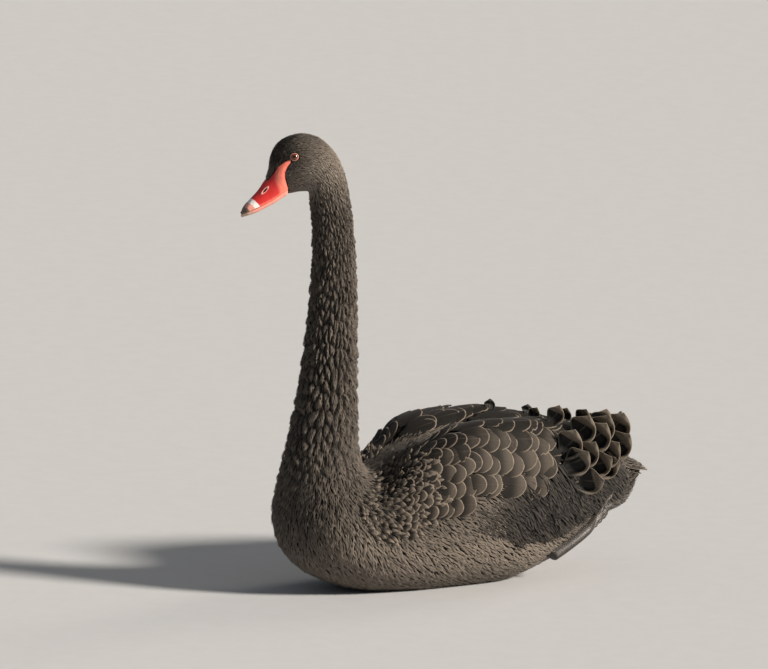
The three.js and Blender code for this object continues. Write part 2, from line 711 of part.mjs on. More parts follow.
const TORSO_STEPS = 21;
const TORSO_AROUND = 24;
const bodyToClear = loft(BODY, RUMP, NECK_BASE, TORSO_STEPS, TORSO_AROUND, GAP);
addPart("torso", loft(BODY, RUMP, NECK_BASE, TORSO_STEPS, TORSO_AROUND), PLUMAGE);

NECK_NAMES.forEach((name, i) => {
  const from = NECK_CUTS[i] + GAP * stepAt(BODY, NECK_CUTS[i]);
  addPart(name, loft(BODY, from, NECK_CUTS[i + 1], 6, 20), PLUMAGE);
});

const { head, bill_upper: billUpper, bill_lower: billLower } = headParts();
addPart("head", head, PLUMAGE);
addPart("bill_upper", billUpper, BILL);
addPart("bill_lower", billLower, BILL);

for (const side of SIDES) {
  addPart(`eye_${side.word}`, eyeBall(side.sign, EYE_RADIUS), EYE);
  addPart(`wing_${side.word}`, wing(side, bodyToClear), PLUMAGE);
  addPart(`foot_${side.word}`, foot(side, bodyToClear), LEG);
}
addPart("tail", tail(bodyToClear), PLUMAGE);

export default swan;
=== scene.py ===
"""A black swan at life size: skin, feathers, bill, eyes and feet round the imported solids.

Lengths are in millimetres until a mesh is made. X is the bird's left, Y runs towards the
tail and Z is up from the floor. A place on the bird is a pair: t counts the stations of its
outline from the tail to the bill, and turn is the angle round the section, from the middle
of the back towards the bird's left. A share is a number from 0 to 1. A side is 1 for the
bird's left and -1 for its right.
"""
import math

import bpy
import numpy as np
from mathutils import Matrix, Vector
from mathutils.kdtree import KDTree


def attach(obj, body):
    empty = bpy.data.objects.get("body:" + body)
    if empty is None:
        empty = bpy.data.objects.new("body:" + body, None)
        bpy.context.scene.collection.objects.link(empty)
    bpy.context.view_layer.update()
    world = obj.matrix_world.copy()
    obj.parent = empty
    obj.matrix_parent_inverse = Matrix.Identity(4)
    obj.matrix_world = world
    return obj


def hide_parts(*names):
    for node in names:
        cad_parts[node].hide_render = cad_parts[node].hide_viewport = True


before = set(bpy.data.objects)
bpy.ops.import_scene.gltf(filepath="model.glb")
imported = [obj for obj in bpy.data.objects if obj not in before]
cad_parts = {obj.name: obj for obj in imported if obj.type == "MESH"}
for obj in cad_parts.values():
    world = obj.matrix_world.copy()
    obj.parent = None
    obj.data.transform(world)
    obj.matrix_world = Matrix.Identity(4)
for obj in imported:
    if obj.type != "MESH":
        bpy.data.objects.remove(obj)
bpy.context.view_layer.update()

MM = 0.001
DEGREE = math.pi / 180
SIDES = {1: "left", -1: "right"}
FLOOR_CLEAR = 0.3
UPWARDS = np.array([0, 0, 1])

# The outline of the bird, as in its solids
HEAD_TURN = -17 * DEGREE
NECK_AXIS_Y = -229
STATIONS = np.array([
    # back y, back z, belly y, belly z, half width, waist, square below, square above, head
    [300, 149, 297, 138, 14, 0.6, 2.1, 2.1, 0],
    [289, 155, 286, 114, 24, 0.7, 2.1, 2.1, 0],
    [276, 163, 275, 95, 31, 0.6, 2.1, 2.1, 0],
    [262, 172, 264, 86, 36, 0.5, 2.1, 2.1, 0],
    [218, 196, 216, 72, 68, 0.48, 2.2, 2.2, 0],
    [140, 212, 142, 30, 100, 0.46, 2.3, 2.3, 0],
    [45, 218, 45, -4, 120, 0.44, 2.3, 2.3, 0],
    [-50, 216, -58, -9, 124, 0.43, 2.3, 2.3, 0],
    [-118, 202, -142, -7, 119, 0.43, 2.3, 2.3, 0],
    [-156, 189, -220, 6, 111, 0.45, 2.2, 2.2, 0],
    [-177, 184, -288, 44, 101, 0.48, 2.1, 2.1, 0],
    [-188, 191, -316, 98, 86, 0.5, 2.05, 2.05, 0],
    [-192, 210, -315, 154, 69, 0.5, 2, 2, 0],
    [-193, 244, -303, 216, 54, 0.5, 2, 2, 0],
    [-193, 300, -285, 292, 45.5, 0.5, 2, 2, 0],
    [-193, 366, -273, 363, 40, 0.5, 2, 2, 0],
    [-192, 440, -264, 440, 36, 0.5, 2, 2, 0],
    [-194, 510, -259, 508, 32.5, 0.5, 2, 2, 0],
    [-199, 562, -260.5, 554, 30.5, 0.5, 2, 2, 0],
    [-204, 600, -263, 582, 30, 0.5, 2, 2, 0.35],
    [-212, 634, -264, 599, 29.5, 0.5, 2, 2, 0.8],
    [-225, 662, -266.5, 605, 30, 0.5, 2.05, 2.05, 1],
    [-247, 684, -274, 606, 30, 0.52, 2.1, 2.1, 1],
    [-272, 692.5, -282, 605.5, 29, 0.52, 2.1, 2.1, 1],
    [-295, 689.5, -288, 604.5, 26.5, 0.5, 2.1, 2.1, 1],
    [-313, 679, -294, 603.5, 23, 0.48, 2.1, 2.1, 1],
    [-323.5, 661, -299, 600.5, 20, 0.44, 2.1, 1.9, 1],
    [-327, 641, -308, 595.5, 17.5, 0.4, 2.2, 1.7, 1],
    [-333.5, 624, -319, 589, 16, 0.36, 2.3, 1.7, 1],
    [-343, 609, -333, 582.5, 15, 0.36, 2.3, 1.8, 1],
    [-354.5, 597, -347, 576, 13.5, 0.4, 2.4, 1.9, 1],
    [-364, 588, -359, 572, 10.5, 0.45, 2.3, 2.3, 1],
    [-369, 578, -365.5, 570, 4.5, 0.5, 2.1, 2.1, 1],
])
T_FIRST = -3
T_LAST = T_FIRST + len(STATIONS) - 1

# A folded wing between its two edges, in degrees round the section, and its thickness at
# the ridge on the left and the right
WING_ROWS = np.array([
    # station, top edge, bottom edge, left thickness, right thickness
    [1.1, 14, 72, 14, 12],
    [2, 8, 86, 38, 31],
    [3, 8, 90, 52, 49],
    [4, 9, 92, 61, 48],
    [5, 16, 92, 43, 13],
    [5.6, 26, 92, 28, 8],
    [6.15, 38, 88, 15, 6],
    [6.7, 52, 74, 4, 3],
])
WING_RIDGE = 0.34


# Numbers and grids
def smooth(low, high, value):
    """A smooth step from 0 to 1 as a value goes from low to high."""
    share = np.clip((value - low) / (high - low), 0, 1)
    return share * share * (3 - 2 * share)


def rising(share):
    """From 0 to 1 as a share does, fast at first and then level."""
    return np.sin(np.clip(share, 0, 1) * math.pi / 2)


def bell(middle, width, value):
    """A curve of a value that is 1 at its middle and falls off to both sides."""
    return np.exp(-((value - middle) / width) ** 2)


def unit(vectors):
    return vectors / np.maximum(np.linalg.norm(vectors, axis=-1, keepdims=True), 1e-9)


def swung(angle, first, second):
    """Ways swung by an angle from a first way towards a second."""
    return np.cos(angle)[..., None] * first + np.sin(angle)[..., None] * second


def sheet(first, second):
    """Two grids of numbers, one that changes by row and one that changes by column."""
    return np.meshgrid(first, second, indexing="ij")


def columns_at(table, t):
    """The numbers of a table at t, which its first column gives."""
    return [np.interp(t, table[:, 0], column) for column in table.T[1:]]


def level(value):
    return lambda t, turn: value + 0 * t


def between(stations, values):
    return lambda t, turn: np.interp(t, stations, values)


# The surface of the bird
def stations_at(t):
    """The numbers of a station at any t, on a smooth curve through the stations."""
    index = np.clip(np.asarray(t, float) - T_FIRST, 0, len(STATIONS) - 1)
    i = np.minimum(index.astype(int), len(STATIONS) - 2)
    s = (index - i)[..., None]
    a, b, c, d = (STATIONS[np.clip(i + k, 0, len(STATIONS) - 1)] for k in (-1, 0, 1, 2))
    return 0.5 * (2 * b + (c - a) * s + (2 * a - 5 * b + 4 * c - d) * s**2
                  + (3 * b - a - 3 * c + d) * s**3)


def turned(points, angle):
    """Points turned round the upright axis of the neck."""
    x = points[..., 0]
    y = points[..., 1] - NECK_AXIS_Y
    made = points.copy()
    made[..., 0] = x * np.cos(angle) - y * np.sin(angle)
    made[..., 1] = NECK_AXIS_Y + x * np.sin(angle) + y * np.cos(angle)
    return made


def on_body(t, turn):
    """Points of the bird without its wings."""
    back_y, back_z, belly_y, belly_z, half, waist, below, above, head = np.moveaxis(
        stations_at(t), -1, 0)
    power = 2 / np.where(np.cos(turn) > 0, above, below)
    across = np.sign(np.sin(turn)) * np.abs(np.sin(turn)) ** power
    up = np.sign(np.cos(turn)) * np.abs(np.cos(turn)) ** power
    share = waist + up * np.where(up > 0, 1 - waist, waist)
    y = belly_y + (back_y - belly_y) * share
    z = belly_z + (back_z - belly_z) * share
    return turned(np.stack([half * across, y, z], -1), HEAD_TURN * head)


def wing_row(t):
    """Top edge, bottom edge, left and right thickness of the wings at t."""
    i = np.clip(np.searchsorted(WING_ROWS[:, 0], t) - 1, 0, len(WING_ROWS) - 2)
    share = smooth(WING_ROWS[i, 0], WING_ROWS[i + 1, 0], t)[..., None]
    return np.moveaxis(WING_ROWS[i] + (WING_ROWS[i + 1] - WING_ROWS[i]) * share, -1, 0)[1:]


def wing_thickness(t, turn):
    """How far the folded wings stand off the body."""
    top, bottom, left, right = wing_row(t)
    share = (np.abs(turn) / DEGREE - top) / (bottom - top)
    fall = np.clip((share - WING_RIDGE) / (1 - WING_RIDGE), 0, 1)
    crown = rising(share / WING_RIDGE) ** 0.8 * (1 - 0.88 * fall**0.8)
    inside = (t >= WING_ROWS[0, 0]) & (t <= WING_ROWS[-1, 0]) & (share > 0) & (share < 1)
    return np.where(inside, np.where(turn > 0, left, right) * crown, 0)


def wing_turn(t, share, side):
    """The turn at a share of the way down the wing."""
    top, bottom, _, _ = wing_row(t)
    return side * (top + (bottom - top) * share) * DEGREE


# The whole surface is worked out once on a fine grid and read from it afterwards
GRID_T = np.linspace(T_FIRST, T_LAST, 1601)
GRID_TURN = np.linspace(-math.pi, math.pi, 721)
T_STEP = (T_LAST - T_FIRST) / (len(GRID_T) - 1)
TURN_STEP = 2 * math.pi / (len(GRID_TURN) - 1)
POINT, OUT, FORWARD = slice(0, 3), slice(3, 6), slice(6, 9)
PER_T, PER_TURN, RELIEF = 9, 10, 11
WING_BLEND_ROWS = 12
WING_BLEND_COLUMNS = 7


def slopes(points):
    """Changes of a grid of points along t and round the section, which closes on itself."""
    along = np.gradient(points, T_STEP, axis=0)
    wrapped = np.concatenate([points[:, -2:-1], points, points[:, 1:2]], axis=1)
    around = (wrapped[:, 2:] - wrapped[:, :-2]) / (2 * TURN_STEP)
    return along, around


def blurred(values, reach, axis):
    """A grid of values, each the mean of its neighbours under a bell of the given reach."""
    total = 0
    weight = 0
    for k in range(-2 * reach, 2 * reach + 1):
        part = math.exp(-0.5 * (k / reach * 1.2) ** 2)
        total = total + part * np.roll(values, k, axis)
        weight += part
    return total / weight


def surface_grid():
    """The surface with its wings, and no relief yet."""
    t, turn = sheet(GRID_T, GRID_TURN)
    points = on_body(t, turn)
    wings = blurred(wing_thickness(t, turn), WING_BLEND_ROWS, 0)
    wings = blurred(wings, WING_BLEND_COLUMNS, 1)
    points = points + unit(np.cross(*slopes(points))) * wings[..., None]
    along, around = slopes(points)
    lengths = [np.linalg.norm(way, axis=-1, keepdims=True) for way in (along, around)]
    no_relief = np.zeros(t.shape + (1,))
    made = np.concatenate([points, unit(np.cross(along, around)), unit(along), *lengths,
                           no_relief], axis=-1)
    return made.astype(np.float32)


SURFACE = surface_grid()


def grid_place(t, turn):
    """Row and column of places in the grid, with their fractions."""
    row = np.clip((np.asarray(t, float) - T_FIRST) / T_STEP, 0, len(GRID_T) - 1.001)
    return row, np.mod(np.asarray(turn, float) + math.pi, 2 * math.pi) / TURN_STEP


def look_up(t, turn):
    """Points, ways, lengths and relief of the surface."""
    row, column = grid_place(t, turn)
    i = row.astype(int)
    j = np.minimum(column.astype(int), len(GRID_TURN) - 2)
    a = (row - i)[..., None]
    b = (column - j)[..., None]
    near = SURFACE[i, j] * (1 - b) + SURFACE[i, j + 1] * b
    far = SURFACE[i + 1, j] * (1 - b) + SURFACE[i + 1, j + 1] * b
    return near * (1 - a) + far * a


def turned_degrees(turn):
    """Degrees from the middle of the back, on either side."""
    return np.abs(np.mod(turn + math.pi, 2 * math.pi) - math.pi) / DEGREE


# Lengths along the bird, for its unwrap and its bumps
def arc(t, turns, length=1):
    """How far along the middle between two turns each t lies, in lengths that may vary."""
    middle = 0.5 * (on_body(t, t * 0 + turns[0]) + on_body(t, t * 0 + turns[1]))
    steps = np.linalg.norm(np.diff(middle, axis=0), axis=1)
    return np.concatenate([[0], np.cumsum(steps / length)])


ARC_T = np.linspace(T_FIRST, T_LAST, 400)
ARC = arc(ARC_T, (0, math.pi))
PATCH = 0.003


def unwrapped(t, turn, span):
    """Places on an unwrap of the skin between two stations."""
    low, high = np.interp(span, ARC_T, ARC)
    around = np.mod(turn + math.pi, 2 * math.pi) / (2 * math.pi)
    along = (np.interp(t, ARC_T, ARC) - low) / (high - low)
    return np.clip(np.stack([around, along], -1), 0, 1) * (1 - PATCH) + PATCH / 2


# Meshes from arrays
def linked(name, data):
    made = bpy.data.objects.new(name, data)
    bpy.context.scene.collection.objects.link(made)
    return made


def add_uv(mesh, name, corners):
    layer = mesh.uv_layers.new(name=name)
    layer.data.foreach_set("uv", corners.astype(np.float32).ravel())


def piece(name, points, faces, material, maps, numbers):
    """A smooth mesh of faces with four corners each, in metres, which rides on the body. Its
    maps and numbers are given by point."""
    points = points.reshape(-1, 3)
    mesh = bpy.data.meshes.new(name)
    mesh.vertices.add(len(points))
    mesh.vertices.foreach_set("co", (points * MM).astype(np.float32).ravel())
    mesh.loops.add(faces.size)
    mesh.loops.foreach_set("vertex_index", faces.astype(np.int32).ravel())
    mesh.polygons.add(len(faces))
    mesh.polygons.foreach_set("loop_start", np.arange(0, faces.size, 4, dtype=np.int32))
    mesh.polygons.foreach_set("use_smooth", np.ones(len(faces), bool))
    mesh.update(calc_edges=True)
    mesh.materials.append(material)
    for key, places in maps.items():
        add_uv(mesh, key, places.reshape(-1, 2)[faces.ravel()])
    for key, values in numbers.items():
        attribute = mesh.attributes.new(key, "FLOAT", "POINT")
        attribute.data.foreach_set("value", values.astype(np.float32).ravel())
    made = linked(name, mesh)
    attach(made, "root")
    return made


def grid_faces(rows, columns, flip=False):
    """Faces of a grid of points, by row and column."""
    corner = np.arange(rows * columns).reshape(rows, columns)
    faces = np.stack([corner[:-1, :-1], corner[:-1, 1:], corner[1:, 1:], corner[1:, :-1]], -1)
    return faces.reshape(-1, 4)[:, ::-1 if flip else 1]


def thickened(grids, thickness):
    """Closed vanes from sheets: each gets an under side and a rim all round."""
    count, rows, columns = grids.shape[:3]
    out = unit(np.cross(np.gradient(grids, axis=1), np.gradient(grids, axis=2)))
    both = [side.reshape(count, -1, 3) for side in (grids, grids - out * thickness)]
    faces = grid_faces(rows, columns)
    size = rows * columns
    rim = np.concatenate([
        np.arange(columns - 1),
        np.arange(rows - 1) * columns + columns - 1,
        rows * columns - 1 - np.arange(columns - 1),
        (rows - 1 - np.arange(rows - 1)) * columns,
    ])
    after = np.roll(rim, -1)
    sides = np.stack([rim, rim + size, after + size, after], -1)
    return np.concatenate(both, 1), np.concatenate([faces[:, ::-1], faces + size, sides[:, ::-1]])


def from_edge(grids):
    """How far each point of each vane lies from its sides and tip, its root left out."""
    border = np.concatenate([grids[:, 1:, 0], grids[:, -1, 1:], grids[:, 1:-1, -1]], axis=1)
    points = grids.reshape(len(grids), -1, 1, 3)
    made = [np.linalg.norm(vane - edge[None], axis=-1).min(-1)
            for vane, edge in zip(points, border)]
    return np.array(made)


def coat(name, grids, shares, roots, span, tint, tone, material, thickness=0):
    """One piece of many vanes. grids holds each vane's points by row and column, and shares
    the place of each row along its vane."""
    count, rows, columns = grids.shape[:3]
    grids = grids.copy()
    grids[..., 2] = np.maximum(grids[..., 2], FLOOR_CLEAR)
    points = grids.reshape(count, -1, 3)
    faces = grid_faces(rows, columns)
    v, u = sheet(shares, np.linspace(0, 1, columns))
    local = np.stack([u, v], -1).reshape(-1, 2)
    tone = np.reshape(tone, (count, -1))
    numbers = {"tone": np.broadcast_to(tone, (count, rows * columns))}
    if thickness:
        points, faces = thickened(grids, thickness)
        local = np.concatenate([local, local])
        numbers["edge"] = from_edge(grids)
        numbers = {key: np.concatenate([values, values], 1) for key, values in numbers.items()}
    size = points.shape[1]
    every = (faces[None] + (np.arange(count) * size)[:, None, None]).reshape(-1, 4)
    bake = unwrapped(*roots, span)[:, None] + (local - 0.5) * PATCH
    maps = {"OFBake": bake, "Vane": np.tile(local, (count, 1))}
    piece(name, points, every, material, maps,
          {"tint": np.repeat(tint, size), **numbers})


# Roots spread over the surface
SCATTER_CELLS = 90
SCATTER_TRIES = 4
SCATTER_LEAST = 0.02


def tree_of(points):
    tree = KDTree(len(points))
    for i, point in enumerate(points):
        tree.insert(point, i)
    tree.balance()
    return tree


def thinned(points, radii):
    """Which points stay if each that stays takes away those after it within its radius."""
    tree = tree_of(points)
    alive = np.ones(len(points), bool)
    kept = []
    for i, point in enumerate(points):
        if alive[i]:
            kept.append(i)
            for _, j, _ in tree.find_range(point, radii[i]):
                alive[j] = False
    return kept


def scatter(span, turns, spacing, random, allowed):
    """Places on the surface, none nearer to another than the spacing, in no order."""
    t_edge = np.linspace(*span, SCATTER_CELLS + 1)
    turn_edge = np.linspace(*turns, SCATTER_CELLS + 1)
    t, turn = sheet(t_edge, turn_edge)
    points = look_up(t, turn)[..., POINT]
    area = np.linalg.norm(np.cross(points[1:, :-1] - points[:-1, :-1],
                                   points[:-1, 1:] - points[:-1, :-1]), axis=-1)
    middle_t = 0.5 * (t[1:, 1:] + t[:-1, :-1])
    middle_turn = 0.5 * (turn[1:, 1:] + turn[:-1, :-1])
    local = spacing(middle_t, middle_turn) + middle_t * 0
    area = area * np.maximum(allowed(middle_t, middle_turn), SCATTER_LEAST)
    share = (area / local**2).ravel()
    count = int(share.sum() * SCATTER_TRIES)
    chosen = random.choice(share.size, count, p=share / share.sum())
    t = middle_t.ravel()[chosen] + (random.random(count) - 0.5) * (t_edge[1] - t_edge[0])
    turn = middle_turn.ravel()[chosen] + (random.random(count) - 0.5) * (turn_edge[1] - turn_edge[0])
    inside = allowed(t, turn) > 0.5
    t, turn = t[inside], turn[inside]
    kept = thinned(look_up(t, turn)[..., POINT].tolist(), spacing(t, turn) + t * 0)
    return t[kept], turn[kept]


# Vanes in rows from root to tip and columns from side to side
def rows_to_tip(count, ease):
    """Shares along a vane, closer together towards its tip."""
    return 1 - (1 - np.linspace(0, 1, count)) ** ease


def columns_to_edges(count):
    """Places across a vane from -1 to 1, closer together towards its edges."""
    return np.sin(np.linspace(-1, 1, count) * math.pi / 2)


def round_end(v, widest, power):
    """Half width of a vane with a round end, at shares v of its length."""
    past = np.clip((v - widest) / (1 - widest), 0, 1)
    return (0.5 + 0.5 * rising(v / widest)) * np.maximum((1 - past**power) ** (1 / power), 0.1)


def strand(count):
    """Rows, columns and half width of a narrow pointed tuft."""
    rows = rows_to_tip(count, 1.2)
    past = np.maximum(rows - 0.45, 0) / 0.55
    outline = np.where(rows < 0.45, 0.55 + 0.45 * rising(rows / 0.4), 1 - 0.86 * past**1.5)
    return rows, np.linspace(-1, 1, 3), outline


def strand_lift(root, tips, widths, rows, columns, outline):
    """Heights of tufts over the surface, from root to tip, with their edges turned down."""
    rise = root + (tips[:, None] - root) * rows[None] ** 0.8
    droop = widths[:, None, None] * 0.2 * columns**2
    return rise[:, :, None] - droop * outline[None, :, None]


def lay(t, turn, length, width, slant, rows, columns, outline, lift, ragged=1, follow=0):
    """Vanes that lie on the surface from their roots towards the tail, turned by a slant
    towards a higher turn, each as a grid of points lifted off the surface. ragged is the share
    that each place keeps of its way to the edge, and follow the share of the bumps' height
    that the vanes take up."""
    grids = np.empty((len(t), len(rows), len(columns), 3))
    ragged = np.broadcast_to(ragged, grids.shape[:3])
    ways = slant[:, None]
    walked = 0
    for r, share in enumerate(rows):
        here = look_up(t, turn)
        step = (share - walked) * length
        t = t - step * np.cos(slant) / here[:, PER_T]
        turn = turn + step * np.sin(slant) / here[:, PER_TURN]
        walked = share
        here = look_up(t, turn)
        reach = (width / 2 * outline[r])[:, None] * columns * ragged[:, r]
        beside = look_up(t[:, None] + reach * np.sin(ways) / here[:, PER_T, None],
                         turn[:, None] + reach * np.cos(ways) / here[:, PER_TURN, None])
        high = lift[:, r] + follow * beside[..., RELIEF]
        grids[:, r] = beside[..., POINT] + beside[..., OUT] * high[..., None]
    return grids


# The coat lies in bumps with furrows between, which the tufts darken with painted shade: their
# length and width by station, and how high they stand. They are ropes on the upper neck, knobs
# lower down and wavy rows on the breast.
BUMPS = np.array([
    # station, length, width, height
    [-3, 12, 14, 1.2],
    [1, 11, 20, 1.5],
    [4, 10, 21, 1.6],
    [6.5, 11, 20, 2.2],
    [8, 12, 22, 2.8],
    [9.2, 13, 20, 4.2],
    [10, 19, 15, 6.6],
    [11, 26, 13, 8.2],
    [11.8, 24, 10, 7.6],
    [12.6, 22, 8, 6.4],
    [14, 18, 6.4, 5.0],
    [16, 14, 5.4, 4.0],
    [17.3, 9, 4.2, 1.8],
    [19, 4.5, 3.2, 0.9],
    [29, 3.5, 2.4, 0.5],
])
BUMP_ARC_T = np.linspace(T_FIRST, T_LAST, 1200)
BUMP_ARC_TURNS = (1.2, 1.9)
BUMP_ARC = arc(BUMP_ARC_T, BUMP_ARC_TURNS,
               columns_at(BUMPS, 0.5 * (BUMP_ARC_T[1:] + BUMP_ARC_T[:-1]))[0])
BUMP_POOL = 60000
BUMP_APART = 0.72
BUMP_WALL = 0.3
BUMP_LEAN = 0.6
BUMP_MIDDLE = 0.5
BUMP_WOBBLE = 0.22
BUMP_SEED = 7


def bump_space(t, turn):
    """Places in a space where every bump is about one across."""
    _, wide, _ = columns_at(BUMPS, t)
    back_y, back_z, belly_y, belly_z, half = np.moveaxis(stations_at(t), -1, 0)[:5]
    tall = np.hypot(back_y - belly_y, back_z - belly_z) / 2
    x = half * np.sin(turn) / wide
    y = tall * np.cos(turn) / wide
    z = np.interp(t, BUMP_ARC_T, BUMP_ARC)
    wobble = np.stack([np.sin(y * 2.3 + 1.1 * z), np.sin(x * 2.1 - 1.3 * z + 2),
                       np.sin(1.7 * x + 1.9 * y + 4)], -1)
    return np.stack([x, y, z], -1) + BUMP_WOBBLE * wobble


def bumps(random):
    """Heights of the bumps over the whole surface grid, and a number for each bump."""
    t, turn = sheet(GRID_T, GRID_TURN[::2])
    space = bump_space(t, turn)
    places = space.reshape(-1, 3)
    pool = places[random.choice(t.size, BUMP_POOL, replace=False)].tolist()
    centres = [pool[i] for i in thinned(pool, [BUMP_APART] * BUMP_POOL)]
    tree = tree_of(centres)
    found = [tree.find_n(place, 2) for place in places.tolist()]
    which = np.array([pair[0][1] for pair in found]).reshape(t.shape)
    near, next_near = (np.array([pair[k][2] for pair in found]).reshape(t.shape) for k in (0, 1))
    tall = 0.75 + 0.5 * random.random(len(centres))
    walls = 1 - bell(0, BUMP_WALL, next_near - near)
    centre_z = np.array(centres)[which][..., 2]
    ramp_down = np.clip(0.5 + (centre_z - space[..., 2]) * 0.9, 0, 1)
    heights = tall[which] * walls * (1 - BUMP_LEAN + BUMP_LEAN * ramp_down) - BUMP_MIDDLE
    heights = columns_at(BUMPS, t)[2] * heights
    full = np.empty((len(GRID_T), len(GRID_TURN)))
    full[:, ::2] = heights
    full[:, 1::2] = 0.5 * (heights[:, :-1] + heights[:, 1:])
    every = np.repeat(which, 2, axis=1)[:, :-1]
    return blurred(full, 1, 0), random.random(len(centres))[every]


SURFACE[..., RELIEF], BUMP_TINT = bumps(np.random.default_rng(BUMP_SEED))


# Materials
class Field:
    """A number that nodes work out, so that a material reads as sums, products and steps."""

    def __init__(self, paint, socket):
        self.paint = paint
        self.socket = socket

    def math(self, operation, *others):
        return self.paint.field("ShaderNodeMath", (self, *others), operation=operation)

    def __add__(self, other):
        return self.math("ADD", other)

    def __mul__(self, other):
        return self.math("MULTIPLY", other)

    def line(self, slope, start):
        return self.math("MULTIPLY_ADD", slope, start)

    def step(self, low, high, first=0.0, second=1.0):
        """A smooth step from first to second as the number goes from low to high."""
        return self.paint.field("ShaderNodeMapRange", (self, low, high, first, second),
                                interpolation_type="SMOOTHSTEP")

    def blend(self, first, second):
        """Colours between two, by this number."""
        first, second = ((*x, 1) if isinstance(x, tuple) else x for x in (first, second))
        return self.paint.field("ShaderNodeMix", {0: self, 6: first, 7: second}, 2,
                                data_type="RGBA")


def layered(colour, *layers):
    """A colour under others, each of which covers it by a share."""
    for share, cover in layers:
        colour = share.blend(colour, cover)
    return colour


class Paint:
    """A material while its nodes are made."""

    def __init__(self, name, **sockets):
        self.material = bpy.data.materials.new(name)
        self.material.use_nodes = True
        self.tree = self.material.node_tree
        self.tree.nodes.clear()
        output = self.add("ShaderNodeOutputMaterial")
        self.shader = self.add("ShaderNodeBsdfPrincipled")
        for key, value in sockets.items():
            self.shader.inputs[key.replace("_", " ")].default_value = value
        self.tree.links.new(self.shader.outputs[0], output.inputs[0])
        self.place = self.field("ShaderNodeTexCoord", output="Object")

    def add(self, kind, inputs=(), **settings):
        node = self.tree.nodes.new(kind)
        for key, value in settings.items():
            setattr(node, key, value)
        for key, value in inputs.items() if isinstance(inputs, dict) else enumerate(inputs):
            if isinstance(value, Field):
                self.tree.links.new(value.socket, node.inputs[key])
            else:
                node.inputs[key].default_value = value
        return node

    def field(self, kind, inputs=(), output=0, **settings):
        return Field(self, self.add(kind, inputs, **settings).outputs[output])

    def numbers(self, *names):
        """Numbers that a piece carries by point."""
        return [self.field("ShaderNodeAttribute", output="Fac", attribute_name=name)
                for name in names]

    def noise(self, scale, detail=3.0, roughness=0.6, place=None):
        inputs = {"Vector": place or self.place, "Scale": scale, "Detail": detail,
                  "Roughness": roughness}
        return self.field("ShaderNodeTexNoise", inputs)

    def cells(self, scale):
        """How far a place is from the edge of its cell."""
        return self.field("ShaderNodeTexVoronoi", {"Vector": self.place, "Scale": scale},
                          feature="DISTANCE_TO_EDGE")

    def vane(self):
        """Shares across and along a vane."""
        parts = self.add("ShaderNodeSeparateXYZ", (self.field("ShaderNodeUVMap", uv_map="Vane"),))
        return Field(self, parts.outputs[0]), Field(self, parts.outputs[1])

    def finish(self, colour, roughness, height, strength, distance):
        bump = self.field("ShaderNodeBump", {"Height": height, "Strength": strength,
                                             "Distance": distance})
        for key, value in (("Base Color", colour), ("Roughness", roughness), ("Normal", bump)):
            self.tree.links.new(value.socket, self.shader.inputs[key])
        return self.material


def vane_material(name, dark, mid, fringe, rim, rim_strength, gloss, root_shade=(0.92, 0.5),
                  shine=0.08):
    """A feather: fine barbs from a shaft, darker in the middle, with a pale fringe as wide as
    rim in millimetres, and darkened towards its root from one share of its length to another,
    partly the darker base of a feather and partly painted shade where it lies under the one before."""
    paint = Paint(name, Sheen_Weight=0.05, Sheen_Roughness=0.5, Specular_IOR_Level=shine)
    u, along = paint.vane()
    across = u.line(2.0, -1.0).math("ABSOLUTE")
    tint, tone, edge = paint.numbers("tint", "tone", "edge")
    barb = along.line(240.0, across * -70.0).math("SINE")
    ways = paint.field("ShaderNodeCombineXYZ", (across * 2.0, along.line(40.0, across * -12.0),
                                                tint * 37.0))
    streak = paint.noise(1.0, 2.0, place=ways)
    share = paint.noise(24.0) * 0.5 + tint * 0.5 + streak * 0.35 + tone
    colour = share.step(0.3, 1.2).blend(dark, mid)
    fringed = paint.noise(160.0).line(rim, edge).step(rim * 1.9, rim * 0.75)
    # The fringe fades where the tone is low, as where a coat paints shade into it
    fringed = fringed * along.step(0.3, 0.75, 0.25, 1.0) * tone.step(-1.1, -0.8, 0.0, rim_strength)
    colour = fringed.blend(colour, fringe)
    colour = (across.step(0.055, 0.015) * 0.35).blend(colour, mid)
    # Painted shade towards the root, over the darker base of the feather
    colour = along.step(*root_shade, 0.0, 0.92).blend(colour, dark)
    height = barb * 0.5 + streak * 1.5 + across.step(0.06, 0.0, 0.0, 2.0)
    return paint.finish(colour, paint.noise(420.0).line(0.25, gloss), height, 0.35, 0.0004)


def tuft_material(name, dark, mid, tip, tip_strength):
    """Short soft coat: dark at the root, with paler worn tips."""
    paint = Paint(name, Sheen_Weight=0.1, Sheen_Roughness=0.6, Specular_IOR_Level=0.08)
    _, along = paint.vane()
    tint, tone = paint.numbers("tint", "tone")
    patches = paint.noise(30.0)
    speckle = paint.noise(500.0, 2.0)
    share = speckle.line(0.3, patches * 0.3 + tint * 0.8 + tone)
    colour = share.step(0.25, 1.25).blend(dark, mid)
    colour = share.step(1.2, 2.2, 0.0, 0.6).blend(colour, tip)
    ends = along.step(0.55, 1.0) * tip_strength * tint.step(0.2, 0.9, 0.35, 1.0)
    colour = ends.blend(colour, tip)
    colour = along.step(0.45, 0.0, 0.0, 0.75).blend(colour, dark)
    return paint.finish(colour, speckle.line(0.2, 0.55), speckle + patches * 0.5, 0.2, 0.0003)


def skin_material():
    paint = Paint("skin_under_feathers", Specular_IOR_Level=0.04)
    fine = paint.noise(600.0)
    colour = paint.noise(60.0, 4.0).blend((0.007, 0.006, 0.006), (0.018, 0.015, 0.013))
    return paint.finish(colour, fine.line(0.2, 0.7), fine, 0.5, 0.0006)


# Skin, which lies under the coat
SKIN_ROWS, SKIN_AROUND = 330, 176
COAT_DEPTHS = ((-3, 0, 8, 10, 15.5, 18, T_LAST), (3, 4.2, 4.2, 3.6, 3.0, 1.5, 1.9))
SKIN_SPAN = (T_FIRST + 0.15, 27.6)
SKIN_LOWEST = 1.5


